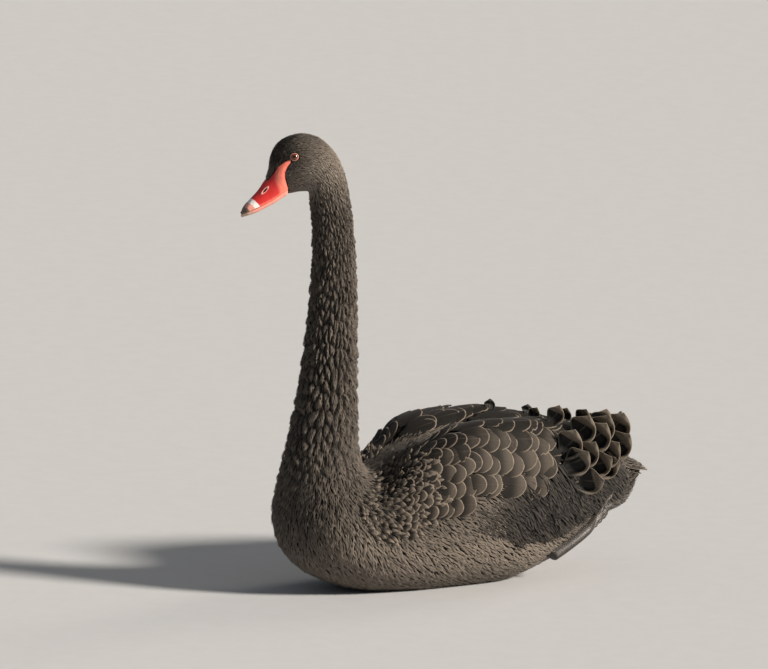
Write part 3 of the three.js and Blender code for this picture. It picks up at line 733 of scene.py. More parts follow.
def make_skin():
    """A closed skin from tail to bill, sunk by the depth of the coat."""
    rows, around = SKIN_ROWS, SKIN_AROUND
    t, turn = sheet(np.linspace(*SKIN_SPAN, rows), np.linspace(-math.pi, math.pi, around + 1)[:-1])
    here = look_up(t, turn)
    points = here[..., POINT] - here[..., OUT] * np.interp(t, *COAT_DEPTHS)[..., None]
    points[..., 2] = np.maximum(points[..., 2], SKIN_LOWEST)
    corner = np.arange(rows * around).reshape(rows, around)
    quads = grid_faces(rows, around + 1, flip=True)
    faces = [np.concatenate([corner, corner[:, :1]], 1).ravel()[quads]]
    pairs = np.arange(0, around, 2)
    for ring, centre, order in ((corner[0], corner.size, -1), (corner[-1], corner.size + 1, 1)):
        a, b, c = ring[pairs], ring[pairs + 1], ring[(pairs + 2) % around]
        faces.append(np.stack([a, np.full(len(pairs), centre), c, b], -1)[:, ::order])
    every = np.concatenate([points.reshape(-1, 3), points[[0, -1]].mean(1)])
    made = piece("skin", every, np.concatenate(faces), skin_material(), {}, {})
    v, u = sheet(unwrapped(t[:, 0], 0 * t[:, 0], (T_FIRST, T_LAST))[:, 1],
                 np.arange(around + 1) / around)
    walls = np.stack([u, v], -1).reshape(-1, 2)[quads]
    ends = np.zeros((2 * len(pairs), 4, 2)) + [0.5, 0.999]
    add_uv(made.data, "OFBake", np.concatenate([walls, ends]))
    nodes = ["torso", "neck_base", "neck_lower", "neck_middle", "neck_upper", "head", "tail"]
    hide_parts(*nodes, "wing_left", "wing_right")


make_skin()

# Head places, in the middle plane as (y, z) before the head turns
EYE_PLACE = (-292.5, 661.5)
NOSTRIL_PLACE = (-334.6, 610.4)
BILL_END = (-368, 573.5)
BARE_SKIN = np.array([
    (-344, 622), (-329, 626), (-321.5, 636.5), (-316.5, 646.5), (-307, 653.5), (-298, 658),
    (-298.5, 653.5), (-303.5, 646), (-306.5, 638), (-306, 628), (-302.5, 618), (-299, 609.5),
    (-296, 592), (-345, 550), (-385, 550)], float)
CHEEK_EDGE = BARE_SKIN[5:13]
MOUTH = np.array([
    (-296, 612), (-304, 607.5), (-313, 601.5), (-324, 594.5), (-341, 586.5), (-354, 581),
    (-376, 572)], float)


def middle_plane(points):
    """Where points of the head lie in its middle plane, before it turns."""
    return turned(points, -HEAD_TURN)[..., 1:]


def to_segments(places, line):
    """Distance from places to a line of segments, and the side that they lie on."""
    best = np.full(places.shape[:-1], np.inf)
    side = np.zeros(places.shape[:-1])
    for a, b in zip(line[:-1], line[1:]):
        way = b - a
        share = np.clip(((places - a) @ way) / (way @ way), 0, 1)
        distance = np.linalg.norm(places - (a + share[..., None] * way), axis=-1)
        cross = way[0] * (places[..., 1] - a[1]) - way[1] * (places[..., 0] - a[0])
        side = np.where(distance < best, np.sign(cross), side)
        best = np.minimum(best, distance)
    return best, side


def into_bare_skin(points):
    """How far points lie inside the edge of the bare skin; less than zero is outside."""
    places = middle_plane(points)
    inside = np.zeros(places.shape[:-1], bool)
    for (ay, az), (by, bz) in zip(BARE_SKIN, np.roll(BARE_SKIN, -1, axis=0)):
        crosses = (az > places[..., 1]) != (bz > places[..., 1])
        at = ay + (places[..., 1] - az) * (by - ay) / ((bz - az) or 1e-9)
        inside ^= crosses & (places[..., 0] < at)
    distance, _ = to_segments(places, np.concatenate([BARE_SKIN, BARE_SKIN[:1]]))
    return np.where(inside, distance, -distance)


def head_spot(place):
    """The t and turn of a place of the head's left side."""
    t, turn = sheet(np.linspace(19, 26, 281), np.linspace(0.3, 2.8, 251))
    best = np.argmin(np.linalg.norm(middle_plane(on_body(t, turn)) - place, axis=-1))
    return t.ravel()[best], turn.ravel()[best]


EYE_SPOT = head_spot(EYE_PLACE)
NOSTRIL_SPOT = head_spot(NOSTRIL_PLACE)


def spot_frame(spot, side):
    """Point and ways out, forward and up at a spot on one side of the head."""
    here = look_up(np.array([spot[0]]), np.array([side * spot[1]]))[0]
    out = here[OUT].astype(float)
    forward = here[FORWARD] - out * np.dot(here[FORWARD], out)
    forward = forward / np.linalg.norm(forward)
    return here[POINT].astype(float), out, forward, np.cross(out, forward) * side


# Bill and bare skin, as one fine surface parted at the mouth
BILL_FROM = 19.5
BILL_ROWS, BILL_AROUND = 300, 261
NOSTRIL_SLANT = 6 * DEGREE
NOSTRIL_LONG = 5.0
NOSTRIL_WIDE = 1.6
NOSTRIL_REACH = 8
NAIL_LENGTH = 11
TIP_LENGTH = 3.2
TIP_ROWS = 9
BILL_MAP_CORNER = (-400, 540)
BILL_MAP_SIZE = 160


def bill_surface():
    """Points of the head and bill from behind the gape to a round tip, and their ways out,
    before the shapes of the bare skin are added."""
    here = look_up(*sheet(np.linspace(BILL_FROM, T_LAST, BILL_ROWS),
                          np.linspace(-math.pi, math.pi, BILL_AROUND)))
    points = here[..., POINT].astype(float)
    out = here[..., OUT].astype(float)
    middle = points[-1].mean(0)
    forward = unit(middle - points[-20].mean(0))
    caps, cap_outs = [], []
    for k in range(1, TIP_ROWS + 1):
        angle = k / TIP_ROWS * math.pi / 2
        shrunk = middle + (points[-1] - middle) * max(math.cos(angle), 0.01)
        caps.append(shrunk + forward * TIP_LENGTH * math.sin(angle))
        cap_outs.append(unit(out[-1] * math.cos(angle) + forward * math.sin(angle)))
    return np.concatenate([points, caps]), np.concatenate([out, cap_outs])


def from_nostril(points):
    """How far points lie from the middle of a nostril, which is 1 at its edge."""
    made = np.full(points.shape[:2], 9.0)
    for side in SIDES:
        spot, out, forward, up = spot_frame(NOSTRIL_SPOT, side)
        offset = points - spot
        along = offset @ (-forward * math.cos(NOSTRIL_SLANT) + up * math.sin(NOSTRIL_SLANT))
        beside = offset @ (forward * math.sin(NOSTRIL_SLANT) + up * math.cos(NOSTRIL_SLANT))
        round_it = np.sqrt((along / NOSTRIL_LONG) ** 2 + (beside / NOSTRIL_WIDE) ** 2)
        near = np.abs(offset @ out) < NOSTRIL_REACH
        made = np.where(near, np.minimum(made, round_it), made)
    return made


def make_bill(material):
    """Upper and lower bill with the bare skin beside them, parted at the mouth."""
    points, out = bill_surface()
    places = middle_plane(points)
    inside = into_bare_skin(points)
    from_mouth, mouth_side = to_segments(places, MOUTH)
    above = np.where(mouth_side < 0, 1.0, -1.0)
    over = from_mouth * above
    nostril = from_nostril(points)
    nail_from = np.linalg.norm(places - BILL_END, axis=-1)
    # Sunk to the edge of the feathers, in the line of the mouth and below it, with a lip
    lift = -0.9 * smooth(5, 0, inside) - 1.0 * smooth(0.6, -0.6, inside)
    lift = lift - 0.9 * bell(0, 0.75, over)
    lift = lift - 0.7 * smooth(0.6, -0.6, over) * smooth(7, 1, -over)
    lift = lift + 0.35 * bell(1.7, 1.1, over)
    # Nostrils with their rims, and the nail
    lift = lift - 2.0 * smooth(1.05, 0.55, nostril)
    lift = lift + 0.45 * bell(1.35, 0.35, nostril)
    lift = lift + 0.35 * smooth(NAIL_LENGTH + 0.5, NAIL_LENGTH - 0.5, nail_from) * (above > 0)
    shaped = (points + out * lift[..., None]).reshape(-1, 3)
    numbers = {"from_tip": nail_from, "over_mouth": over, "nostril": nostril, "inside": inside,
               "from_cheek": to_segments(places, CHEEK_EDGE)[0]}
    uv = (places - BILL_MAP_CORNER).reshape(-1, 2) / BILL_MAP_SIZE
    faces = grid_faces(*points.shape[:2], flip=True)
    on_skin = inside.ravel()[faces].mean(1) > -1.2
    upper = over.ravel()[faces].mean(1) > 0
    for node, chosen in (("bill_upper", upper), ("bill_lower", ~upper)):
        used, again = np.unique(faces[on_skin & chosen], return_inverse=True)
        made = piece(f"{node}_skin", shaped[used], again.reshape(-1, 4), material,
                     {"UVMap": uv[used]}, {key: x.ravel()[used] for key, x in numbers.items()})
        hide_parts(node)


def bill_material():
    """Red horn and bare skin: deep red before, salmon towards the gape and the eye, partly the
    skin's paler colour and partly painted highlight, with a white band, a greyish pink nail whose
    end is cream below the mouth and painted dark with shade above it, a pink lower bill, pale rims
    to the nostrils and painted shade inside them."""
    paint = Paint("bill_skin", Specular_IOR_Level=0.45, Subsurface_Weight=0.08, Coat_Weight=0.25,
                  Subsurface_Radius=(0.004, 0.0012, 0.0008))
    from_tip, over, nostril, inside, from_cheek = paint.numbers(
        "from_tip", "over_mouth", "nostril", "inside", "from_cheek")
    patches = paint.noise(55.0, 4.0)
    fine = paint.noise(380.0, 4.0)
    veins = paint.noise(150.0, 5.0, 0.7)
    red = patches.blend((0.50, 0.018, 0.018), (0.66, 0.035, 0.03))
    salmon = veins.blend((0.74, 0.12, 0.08), (0.92, 0.27, 0.19))
    pink = fine.blend((0.80, 0.25, 0.19), (0.90, 0.42, 0.33))
    white = fine.blend((0.78, 0.72, 0.68), (0.92, 0.90, 0.88))
    nail_pink = veins.blend((0.70, 0.26, 0.20), (0.80, 0.42, 0.34))
    nail = veins.blend((0.055, 0.035, 0.028), (0.16, 0.11, 0.085))
    cream = veins.blend((0.50, 0.34, 0.24), (0.66, 0.50, 0.38))
    mouth_red = (0.14, 0.012, 0.010)
    nostril_pink = (0.93, 0.62, 0.54)
    nostril_black = (0.018, 0.006, 0.005)
    edge_brown = (0.10, 0.022, 0.018)
    worn = fine.line(2.4, from_tip)
    layers = [
        # Salmon near the cheek and along the mouth: partly the skin's paler colour, partly painted
        # highlight
        (patches.line(6.0, from_cheek).step(19.0, 12.0), salmon),
        (over.step(5.5, 2.0, 0.0, 0.7), salmon),
        (over.step(0.4, -0.6), pink),
        (worn.step(21.2, 22.4) * worn.step(30.2, 28.8) * over.step(1.0, 1.8), white),
        (worn.step(22.0, 20.8), nail_pink),
        # The end of the nail is cream below the mouth; above it the dark is painted shade
        (worn.step(14.2, 12.4, 0.0, 0.95), over.step(1.2, -0.4).blend(nail, cream)),
        (over.math("ABSOLUTE").step(1.0, 0.3, 0.0, 0.75), mouth_red),
        (nostril.step(0.9, 1.15) * nostril.step(1.9, 1.45) * 0.8, nostril_pink),
        # Painted shade inside each nostril, which is only a shallow dip
        (nostril.step(1.0, 0.7), nostril_black),
        (inside.step(1.2, -0.4, 0.0, 0.7), edge_brown),
    ]
    return paint.finish(layered(red, *layers), veins.line(0.3, 0.20), veins.line(1.4, fine), 0.5,
                        0.0006)


make_bill(bill_material())

# Eyes, each set back in its socket behind a ring of bare lid
EYE_RADIUS = 7.6
EYE_SETBACK = 5.0
EYE_BULGE = 0.35
EYE_ANGLES = (0.012, 2.0)
EYE_ROWS, EYE_AROUND = 40, 65
LID_RADIUS = 5.6
LID_WIRE = 0.72
LID_BENDS = (-2.4, 2.6)
LID_AROUND, LID_ROWS = 97, 16


def eye_material():
    paint = Paint("eye_wet", Roughness=0.08, Coat_Weight=0.5, Coat_Roughness=0.02,
                  Specular_IOR_Level=0.3)
    from_pupil, = paint.numbers("from_pupil")
    fine = paint.noise(900.0, 4.0, 0.7)
    wide = paint.noise(260.0, 2.0)
    iris = fine.blend((0.07, 0.014, 0.008), (0.24, 0.06, 0.030))
    iris_edge = (0.05, 0.012, 0.010)
    pupil = (0.003, 0.003, 0.003)
    # Painted shade on the ball where it goes in under the lid
    socket = (0.03, 0.012, 0.010)
    ring = wide.line(0.5, from_pupil)
    colour = layered(iris, (ring.step(3.6, 4.9), iris_edge), (ring.step(2.75, 2.35), pupil),
                     (from_pupil.step(5.0, 5.3), socket))
    return paint.finish(colour, wide.line(0.06, 0.05), fine, 0.05, 0.0001)


def lid_material():
    paint = Paint("eyelid_skin", Subsurface_Weight=0.1, Specular_IOR_Level=0.4,
                  Subsurface_Radius=(0.003, 0.001, 0.0007))
    from_pupil, = paint.numbers("from_pupil")
    fine = paint.noise(700.0, 4.0)
    lid = paint.noise(220.0).blend((0.48, 0.20, 0.14), (0.68, 0.38, 0.28))
    outer_edge = (0.06, 0.03, 0.024)
    inner_edge = (0.16, 0.03, 0.02)
    colour = layered(lid, (from_pupil.step(6.3, 6.9, 0.0, 0.9), outer_edge),
                     (from_pupil.step(5.3, 4.9, 0.0, 0.8), inner_edge))
    return paint.finish(colour, fine.line(0.2, 0.32), fine, 0.4, 0.0002)


def make_eye(side, material):
    """The front of a ball, with a slight bulge over the pupil."""
    word = SIDES[side]
    spot, out, forward, up = spot_frame(EYE_SPOT, side)
    angle, turn = sheet(np.linspace(*EYE_ANGLES, EYE_ROWS), np.linspace(0, 2 * math.pi, EYE_AROUND))
    ways = swung(angle, out, swung(turn, forward, up))
    radius = EYE_RADIUS + EYE_BULGE * bell(0, 0.5, angle)
    points = spot - out * EYE_SETBACK + ways * radius[..., None]
    uv = np.stack([0.5 + angle * np.cos(turn) / 4.2, 0.5 + angle * np.sin(turn) / 4.2], -1)
    across = EYE_RADIUS * np.sin(np.minimum(angle, math.pi / 2))
    made = piece(f"eye_ball_{word}", points, grid_faces(*angle.shape, flip=side > 0),
                 material, {"UVMap": uv}, {"from_pupil": across})
    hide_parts(f"eye_{word}")


def make_lid(side, material):
    """The ring of bare skin round an eye: a soft, wrinkled roll."""
    spot, out, forward, up = spot_frame(EYE_SPOT, side)
    turn, bend = sheet(np.linspace(0, 2 * math.pi, LID_AROUND), np.linspace(*LID_BENDS, LID_ROWS))
    radial = swung(turn, forward, up)
    squeeze = 1 - 0.10 * np.abs(np.sin(turn))
    wire = LID_WIRE * (1 + 0.05 * np.sin(turn * 17 + 2 * bend) + 0.04 * np.sin(turn * 29))
    reach = LID_RADIUS * squeeze + wire * np.sin(bend)
    height = wire * np.cos(bend) * 0.9 + 0.3 - 0.05 * reach
    points = spot + radial * reach[..., None] + out * height[..., None]
    uv = np.stack([turn / (2 * math.pi), (bend - LID_BENDS[0]) / (LID_BENDS[1] - LID_BENDS[0])], -1)
    piece(f"eyelid_{SIDES[side]}", points, grid_faces(*turn.shape, flip=side < 0), material,
          {"UVMap": uv}, {"from_pupil": reach})


EYE_WET = eye_material()
LID_SKIN = lid_material()
for side in SIDES:
    make_eye(side, EYE_WET)
    make_lid(side, LID_SKIN)

# Feet, tucked back along the under side of the rump, as in the solids
FOOT_FRONT, FOOT_BACK = 2.5, 0.98
FOOT_FRONT_TURN, FOOT_BACK_TURN = 132, 112
ANKLE = 0.48
SHANK_HALF, WEB_HALF = 8, 19
SHANK_HIGH, WEB_HIGH, TOE_HIGH = 11.5, 1.7, 6.2
TOES = (-0.84, 0, 0.84)
FOOT_RAISED = 1.6
FOOT_ROWS, FOOT_COLUMNS = 84, 61
CLAW_LONG = 0.085
CLAW_THICK = 2.2
CLAW_AROUND, CLAW_ROWS = 17, 10


def foot_width(along):
    share = np.clip((along - ANKLE) / (1 - ANKLE), 0, 1)
    return SHANK_HALF + (WEB_HALF - SHANK_HALF) * rising(share * 1.5)


def foot_middle(along):
    """Degrees round the section of the middle of a foot."""
    return FOOT_FRONT_TURN + (FOOT_BACK_TURN - FOOT_FRONT_TURN) * along


def under_foot(t, turn):
    along = (FOOT_FRONT - t) / (FOOT_FRONT - FOOT_BACK)
    off = np.abs(turned_degrees(turn) - foot_middle(along)) * DEGREE * look_up(t, turn)[..., PER_TURN]
    return (along > 0.06) & (along < 0.9) & (off < 0.85 * foot_width(along))


def foot_points(side, along, across, lift):
    t = FOOT_FRONT + (FOOT_BACK - FOOT_FRONT) * along
    middle = foot_middle(along) * DEGREE
    per_turn = look_up(t, side * middle)[..., PER_TURN]
    here = look_up(t, side * (middle + across * foot_width(along) / per_turn))
    return here[..., POINT] + here[..., OUT] * lift[..., None]


def make_foot(side, material):
    """Shank, ankle, and three toes with joints and webs between them."""
    word = SIDES[side]
    r, across = sheet(np.linspace(0, 1, FOOT_ROWS), np.linspace(-1, 1, FOOT_COLUMNS))
    toe = np.min([np.abs(across - toe) for toe in TOES], axis=0)
    end = 1 - 0.10 * np.minimum(toe / 0.42, 1) - 0.08 * np.abs(across)
    along = np.where(r > ANKLE, r * (1 + (end - 1) * (r - ANKLE) / (1 - ANKLE)), r)
    shank = SHANK_HIGH * np.sqrt(np.maximum(1 - across**2, 0.02))
    joints = 1 + 0.14 * np.sin(r * 58) * bell(0, 0.16, toe)
    ridge = WEB_HIGH + TOE_HIGH * bell(0, 0.17, toe) * (1.15 - 0.5 * r) * joints
    ridge = ridge + 0.35 * np.sin(across * 34 + 9 * r) * smooth(0.1, 0.3, toe)
    share = smooth(ANKLE - 0.02, ANKLE + 0.2, r)
    lift = shank * (1 - share) + ridge * share + FOOT_RAISED
    rim = np.minimum.reduce([1 - np.abs(across), r, 1 - r])
    lift = lift * smooth(-0.01, 0.035, rim) - 1.5 * smooth(0.03, 0, rim)
    points = foot_points(side, along, across, lift)
    points[..., 2] = np.maximum(points[..., 2], FLOOR_CLEAR)
    uv = np.stack([(across + 1) / 2, r], -1)
    made = piece(f"foot_skin_{word}", points, grid_faces(*r.shape, flip=side < 0), material,
                 {"UVMap": uv}, {"toe": toe + 2 * (1 - share)})
    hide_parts(f"foot_{word}")


def make_claws(side, material):
    """A blunt claw on each toe, narrower and lower to its end."""
    turn, v = sheet(np.linspace(0, 2 * math.pi, CLAW_AROUND), np.linspace(0, 1, CLAW_ROWS))
    claws, faces = [], []
    for place in TOES:
        along = 1 - 0.08 * abs(place) + v * CLAW_LONG - 0.035
        wide = CLAW_LONG * np.sqrt(np.maximum(1 - v**1.6, 0.0004))
        high = CLAW_THICK * np.sin(turn) * np.sqrt(np.maximum(1 - v**1.6, 0)) - CLAW_THICK * v
        claws.append(foot_points(side, along, place + wide * np.cos(turn), FOOT_RAISED + 2.6 + high))
        faces.append(grid_faces(*turn.shape, flip=side < 0) + len(faces) * turn.size)
    uv = np.tile(np.stack([turn / (2 * math.pi), v], -1).reshape(-1, 2), (len(TOES), 1))
    piece(f"claws_{SIDES[side]}", np.array(claws), np.concatenate(faces), material,
          {"UVMap": uv}, {})


def foot_material():
    """Dull grey-brown skin in small scales, larger on the toes, with a bronze cast on the web that is
    a painted glint.
    """
    paint = Paint("foot_scales", Specular_IOR_Level=0.5)
    toe, = paint.numbers("toe")
    patches = paint.noise(70.0, 4.0)
    fine = paint.noise(500.0)
    skin = patches.blend((0.014, 0.012, 0.011), (0.042, 0.034, 0.028))
    # The web's bronze cast is a painted glint
    web = patches.blend((0.018, 0.014, 0.012), (0.060, 0.044, 0.030))
    colour = toe.step(0.12, 0.3, 0.0, 0.85).blend(skin, web)
    colour = toe.step(0.9, 1.4).blend(colour, skin)
    groove = paint.cells(330.0).step(0.0, 0.10, 1.0, 0.0) * toe.step(0.15, 0.3, 1.0, 0.0)
    little = paint.cells(700.0).step(0.0, 0.12, 1.0, 0.0) * 0.5
    grooves = groove.math("MAXIMUM", little)
    colour = (grooves * 0.6).blend(colour, (0.012, 0.010, 0.009))
    height = (fine * 0.3).math("SUBTRACT", grooves)
    return paint.finish(colour, fine.line(0.25, 0.28), height, 0.5, 0.0004)


def claw_material():
    paint = Paint("claw_horn", Specular_IOR_Level=0.5)
    patches = paint.noise(240.0, 4.0)
    colour = patches.blend((0.016, 0.013, 0.011), (0.065, 0.050, 0.040))
    return paint.finish(colour, paint.noise(900.0).line(0.2, 0.25), patches, 0.3, 0.0003)


CLAW_HORN = claw_material()
FOOT_SCALES = foot_material()
for side in SIDES:
    make_foot(side, FOOT_SCALES)
    make_claws(side, CLAW_HORN)

# Coat of the head, neck and body, in small tufts
HEAD_EDGE = 0.4
LID_OUTER = 6.6
HEAD_SPAN = (15.9, 27.4)
NECK_SPLIT = 12.6
BREAST_TOP = 9.4
FRONT_SPLIT = 5.2
REAR_END = -2.9
VELVET = tuft_material("head_velvet", (0.018, 0.015, 0.013), (0.115, 0.097, 0.079),
                       (0.27, 0.23, 0.19), 0.5)
ROPE = tuft_material("neck_and_breast", (0.010, 0.009, 0.009), (0.092, 0.078, 0.064),
                     (0.22, 0.185, 0.15), 0.45)


def soft_coat(name, span, random, material, tone, spacing, length, width, stray, root, tip,
              rows=3, slant=level(0), allowed=level(1.0), furrow_shade=1.0):
    """A piece of tufts over the bumps, with painted shade that makes them darker down in the
    furrows between the bumps and paler up on them. tone, spacing, length, width and slant go by
    place, and stray is how much the slant varies. A tuft's root and tip are heights over the bumps."""
    t, turn = scatter(span, (-math.pi, math.pi), spacing, random, allowed)
    count = len(t)
    lengths = length(t, turn) * (0.8 + 0.4 * random.random(count))
    widths = width(t, turn) * (0.8 + 0.4 * random.random(count))
    slants = slant(t, turn) + random.normal(0, stray, count)
    shares, columns, outline = strand(rows)
    tips = tip * (0.5 + random.random(count))
    lift = strand_lift(root, tips, widths, shares, columns, outline)
    grids = lay(t, turn, lengths, widths, slants, shares, columns, outline, lift, follow=1)
    per_t = look_up(t, turn)[:, PER_T]
    high = np.stack([look_up(t - lengths * v / per_t, turn)[:, RELIEF] for v in shares], 1)
    # Painted shade: darker where a tuft lies low between the bumps, paler where it lies high on one
    deep = np.repeat(high / columns_at(BUMPS, t)[2][:, None], len(columns), axis=1)
    row, column = (place.astype(int) for place in grid_place(t, turn))
    tint = 0.5 * BUMP_TINT[row, column] + 0.5 * random.random(count)
    coat(name, grids, shares, (t, turn), span, tint, tone(t, turn)[:, None] + furrow_shade * deep,
         material)


def head_allows(t, turn):
    """One outside the bare skin and the lids."""
    points = look_up(t, turn)[..., POINT]
    allowed = np.where(-into_bare_skin(points) > HEAD_EDGE, 1.0, 0.0)
    for side in SIDES:
        centre = look_up(EYE_SPOT[0], side * EYE_SPOT[1])[..., POINT]
        allowed = np.where(np.linalg.norm(points - centre, axis=-1) < LID_OUTER, 0, allowed)
    return allowed


def head_tone(t, turn):
    """Darker on brow and crown, partly their own colour and partly painted shade, paler on the cheek
    and behind the eye.
    """
    y, z = np.moveaxis(middle_plane(look_up(t, turn)[..., POINT]), -1, 0)
    brow = smooth(-285, -318, y) * smooth(628, 660, z)
    cheek = smooth(662, 622, z) * smooth(-215, -262, y)
    behind = smooth(-300, -255, y) * smooth(690, 650, z)
    crown = smooth(672, 700, z)
    tone = 0.4 - 0.9 * brow + 0.85 * cheek + 0.75 * behind - 0.5 * crown
    return tone * smooth(15.6, 18.5, t) + 0.2


def head_coat(random):
    soft_coat("head_coat", HEAD_SPAN, random, VELVET, head_tone,
              spacing=between([15.9, 19, 27], [1.6, 1.22, 1.0]),
              length=between([15.9, 17.5, 20, 24, 27], [9, 6.5, 4.8, 4.2, 3.6]),
              width=between([15.9, 18, 27], [1.7, 1.35, 1.1]),
              stray=0.24, root=-1.5, tip=0.45, allowed=head_allows)


def neck_coat(name, span, random):
    soft_coat(name, span, random, ROPE, lambda t, turn: 0.38 + 0.08 * smooth(11, 9, t),
              spacing=between([8.6, 12, 16], [1.9, 1.5, 1.3]),
              length=between([8.6, 12, 16], [9.5, 7.5, 6]),
              width=between([8.6, 12, 16], [1.9, 1.45, 1.2]),
              stray=0.16, root=-2.2, tip=0.5)


def body_allows(t, turn):
    """One except where the wing's own feathers or a foot cover the body."""
    top, bottom, _, _ = wing_row(t)
    share = (turned_degrees(turn) - top) / (bottom - top)
    under_wing = (t > 1.3) & (t < 5.3) & (share > 0.03) & (share < 0.6)
    return np.where(under_wing | under_foot(t, turn), 0.0, 1.0)


def body_tone(t, turn):
    """Pale and downy low on the flank, dark on the rump."""
    low = smooth(75, 105, turned_degrees(turn)) * smooth(0.5, 2, t)
    pale = low * smooth(8.6, 6, t) * smooth(1.8, 3.4, t)
    tone = 0.47 + 0.3 * smooth(6.4, 4.6, t) + 1.7 * pale + 0.06 * smooth(7, 9, t)
    return tone - 0.85 * smooth(2.6, 1.0, t)


def body_slant(t, turn):
    """The coat of the flank runs down as well as back."""
    low = smooth(40, 80, turned_degrees(turn)) * smooth(150, 115, turned_degrees(turn))
    return np.sign(turn) * 34 * DEGREE * low * smooth(0, 2, t) * smooth(8.5, 6.5, t)


def body_coat(name, span, random):
    soft_coat(name, span, random, ROPE, body_tone,
              spacing=between([-3, 1, 5, 8, 9.4], [3.3, 3.3, 2.8, 2.35, 2.2]),
              length=between([-3, 1, 5, 9.4], [16, 15, 12, 11]),
              width=between([-3, 1, 5, 9.4], [2.8, 2.8, 2.4, 2.0]),
              stray=0.25, root=-3.0, tip=1.2, rows=4, slant=body_slant, allowed=body_allows,
              furrow_shade=0.4)


head_coat(np.random.default_rng(101))
neck_coat("upper_neck_coat", (NECK_SPLIT, HEAD_SPAN[0]), np.random.default_rng(102))
neck_coat("lower_neck_coat", (BREAST_TOP, NECK_SPLIT), np.random.default_rng(103))
body_coat("breast_coat", (FRONT_SPLIT, BREAST_TOP), np.random.default_rng(104))
body_coat("rear_coat", (REAR_END, FRONT_SPLIT), np.random.default_rng(105))

# Feathers with a vane
FRINGE = (0.25, 0.205, 0.16)
SHINGLE = vane_material("shoulder_feathers", (0.013, 0.012, 0.011), (0.165, 0.139, 0.114), FRINGE,
                        rim=2.2, rim_strength=0.55, gloss=0.6)
COVERT = vane_material("wing_feathers", (0.008, 0.007, 0.006), (0.074, 0.062, 0.050), FRINGE,
                       rim=1.9, rim_strength=0.75, gloss=0.5)
SPLIT_ODDS = 0.10
SPLIT_DEEPEST = 0.28


def frayed(random, count, rows, columns, much):
    """Shares by which the edges of a vane come short, with a few splits between barbs."""
    jitter = random.normal(0, much, (count, rows, 2))
    split = (random.random((count, rows, 2)) < SPLIT_ODDS) * random.random((count, rows, 2))
    edges = 1 + np.clip(jitter, -0.12, 0.06) - split * SPLIT_DEEPEST
    edges[:, 0] = 1
    left, right = (1 + (edges[..., k:k + 1] - 1) * np.abs(columns) ** 3 for k in (0, 1))
    return np.where(columns < 0, left, right)


def vanes(name, material, span, random, places, shape, roots, tips, tone, thickness, rows, ease,
          columns, widest, power, droop, end, roll, wave, fray):
    """A coat of feathers that rise from roots to tips over the surface, with their edges turned
    down, a wave in them and a frayed rim. shape is their length, width and slant."""
    count = len(places[0])
    shares = rows_to_tip(rows, ease)
    across = columns_to_edges(columns)
    outline = round_end(shares, widest, power)
    v = shares[None, :, None]
    u = across[None, None, :]
    low, high, down = (np.broadcast_to(np.reshape(x, (-1, 1, 1)), (count, 1, 1))
                       for x in (roots, tips, shape[1] * droop))
    phase = random.random((count, 1, 1)) * 2 * math.pi
    lift = low + (high - low) * v**0.9 - down * u**2 * outline[None, :, None]
    lift = lift + end * smooth(0.7, 1, v) + roll * u * v
    lift = lift + wave * np.sin(phase + 5 * v + 1.5 * u) * v
    ragged = frayed(random, count, rows, across, fray)
    grids = lay(*places, *shape, shares, across, outline, lift, ragged)
    coat(name, grids, shares, places, span, random.random(count), tone, material, thickness)


def within(upper, lower):
    """One between two turns in degrees, which go by station."""
    def allows(t, turn):
        degrees = turned_degrees(turn)
        return np.where((degrees > upper(t, turn)) & (degrees < lower(t, turn)), 1.0, 0.0)

    return allows


def side_turns(side, low, high):
    """Two turns in degrees from the middle of the back, on one side, in rising order."""
    return sorted((side * low * DEGREE, side * high * DEGREE))


SHOULDER_SPAN = (4.95, 7.8)
SHOULDER_TURNS = (5, 110)
SHOULDER_AREA = within(between([4.9, 5.3, 5.8, 6.3, 7.8], [60, 26, 8, 10, 26]),
                       between([4.9, 5.6, 6.6, 7.8], [72, 84, 92, 76]))
SHOULDER_SPACING = between([4.9, 6, 7.8], [7.4, 6.2, 4.9])


def shoulder(side, random):
    """The small ruffled feathers of the shoulder and the side of the breast."""
    t, turn = scatter(SHOULDER_SPAN, side_turns(side, *SHOULDER_TURNS), SHOULDER_SPACING,
                      random, SHOULDER_AREA)
    count = len(t)
    size = SHOULDER_SPACING(t, turn)
    length = size * 3.3 * (0.75 + 0.5 * random.random(count))
    width = size * 1.45 * (0.6 + 0.7 * random.random(count))
    slant = side * (np.interp(t, [4.9, 7.8], [16, 8]) + random.normal(0, 15, count)) * DEGREE
    tone = 0.7 + 0.4 * np.sin(t * 9 + 3 * np.sin(turn * 11)) * np.sin(turn * 14)
    vanes(f"shoulder_feathers_{SIDES[side]}", SHINGLE, SHOULDER_SPAN, random, (t, turn),
          (length, width, slant), -3.0, 1.8 + 4.0 * random.random(count), tone,
          thickness=0.3, rows=9, ease=1.4, columns=7, widest=0.45, power=1.5, droop=0.2,
          end=-0.4, roll=0, wave=1.2, fray=0.07)


# Feathers of the folded wing by station: length and width low on the wing, how far one row
# lies behind the next, and where the rows begin and end as shares of the way down the wing
COVERTS = np.array([
    # station, length, width, pitch, top share, bottom share
    [1.25, 52, 36, 19, 0.04, 0.9],
    [2.0, 58, 40, 19, 0.03, 0.8],
    [2.55, 60, 41, 18, 0.03, 0.7],
    [3.0, 59, 42, 17, 0.02, 0.68],
    [3.5, 57, 43, 16, 0.02, 0.68],
    [4.0, 52, 42, 15.5, 0.02, 0.70],
    [4.4, 46, 37, 14, 0.02, 0.71],
    [4.8, 39, 31, 12, 0.02, 0.72],
    [5.2, 30, 24, 9.5, 0.02, 0.74],
    [5.6, 22, 18, 7.5, 0.02, 0.76],
    [5.9, 18, 15, 6.5, 0.02, 0.80],
])
WING_SPAN = (1, 7)
SCAPULAR_LONGER = 0.45
COVERT_PACKED = 0.8
COVERT_LIFT = 4.2
COVERT_MISSING = 0.05
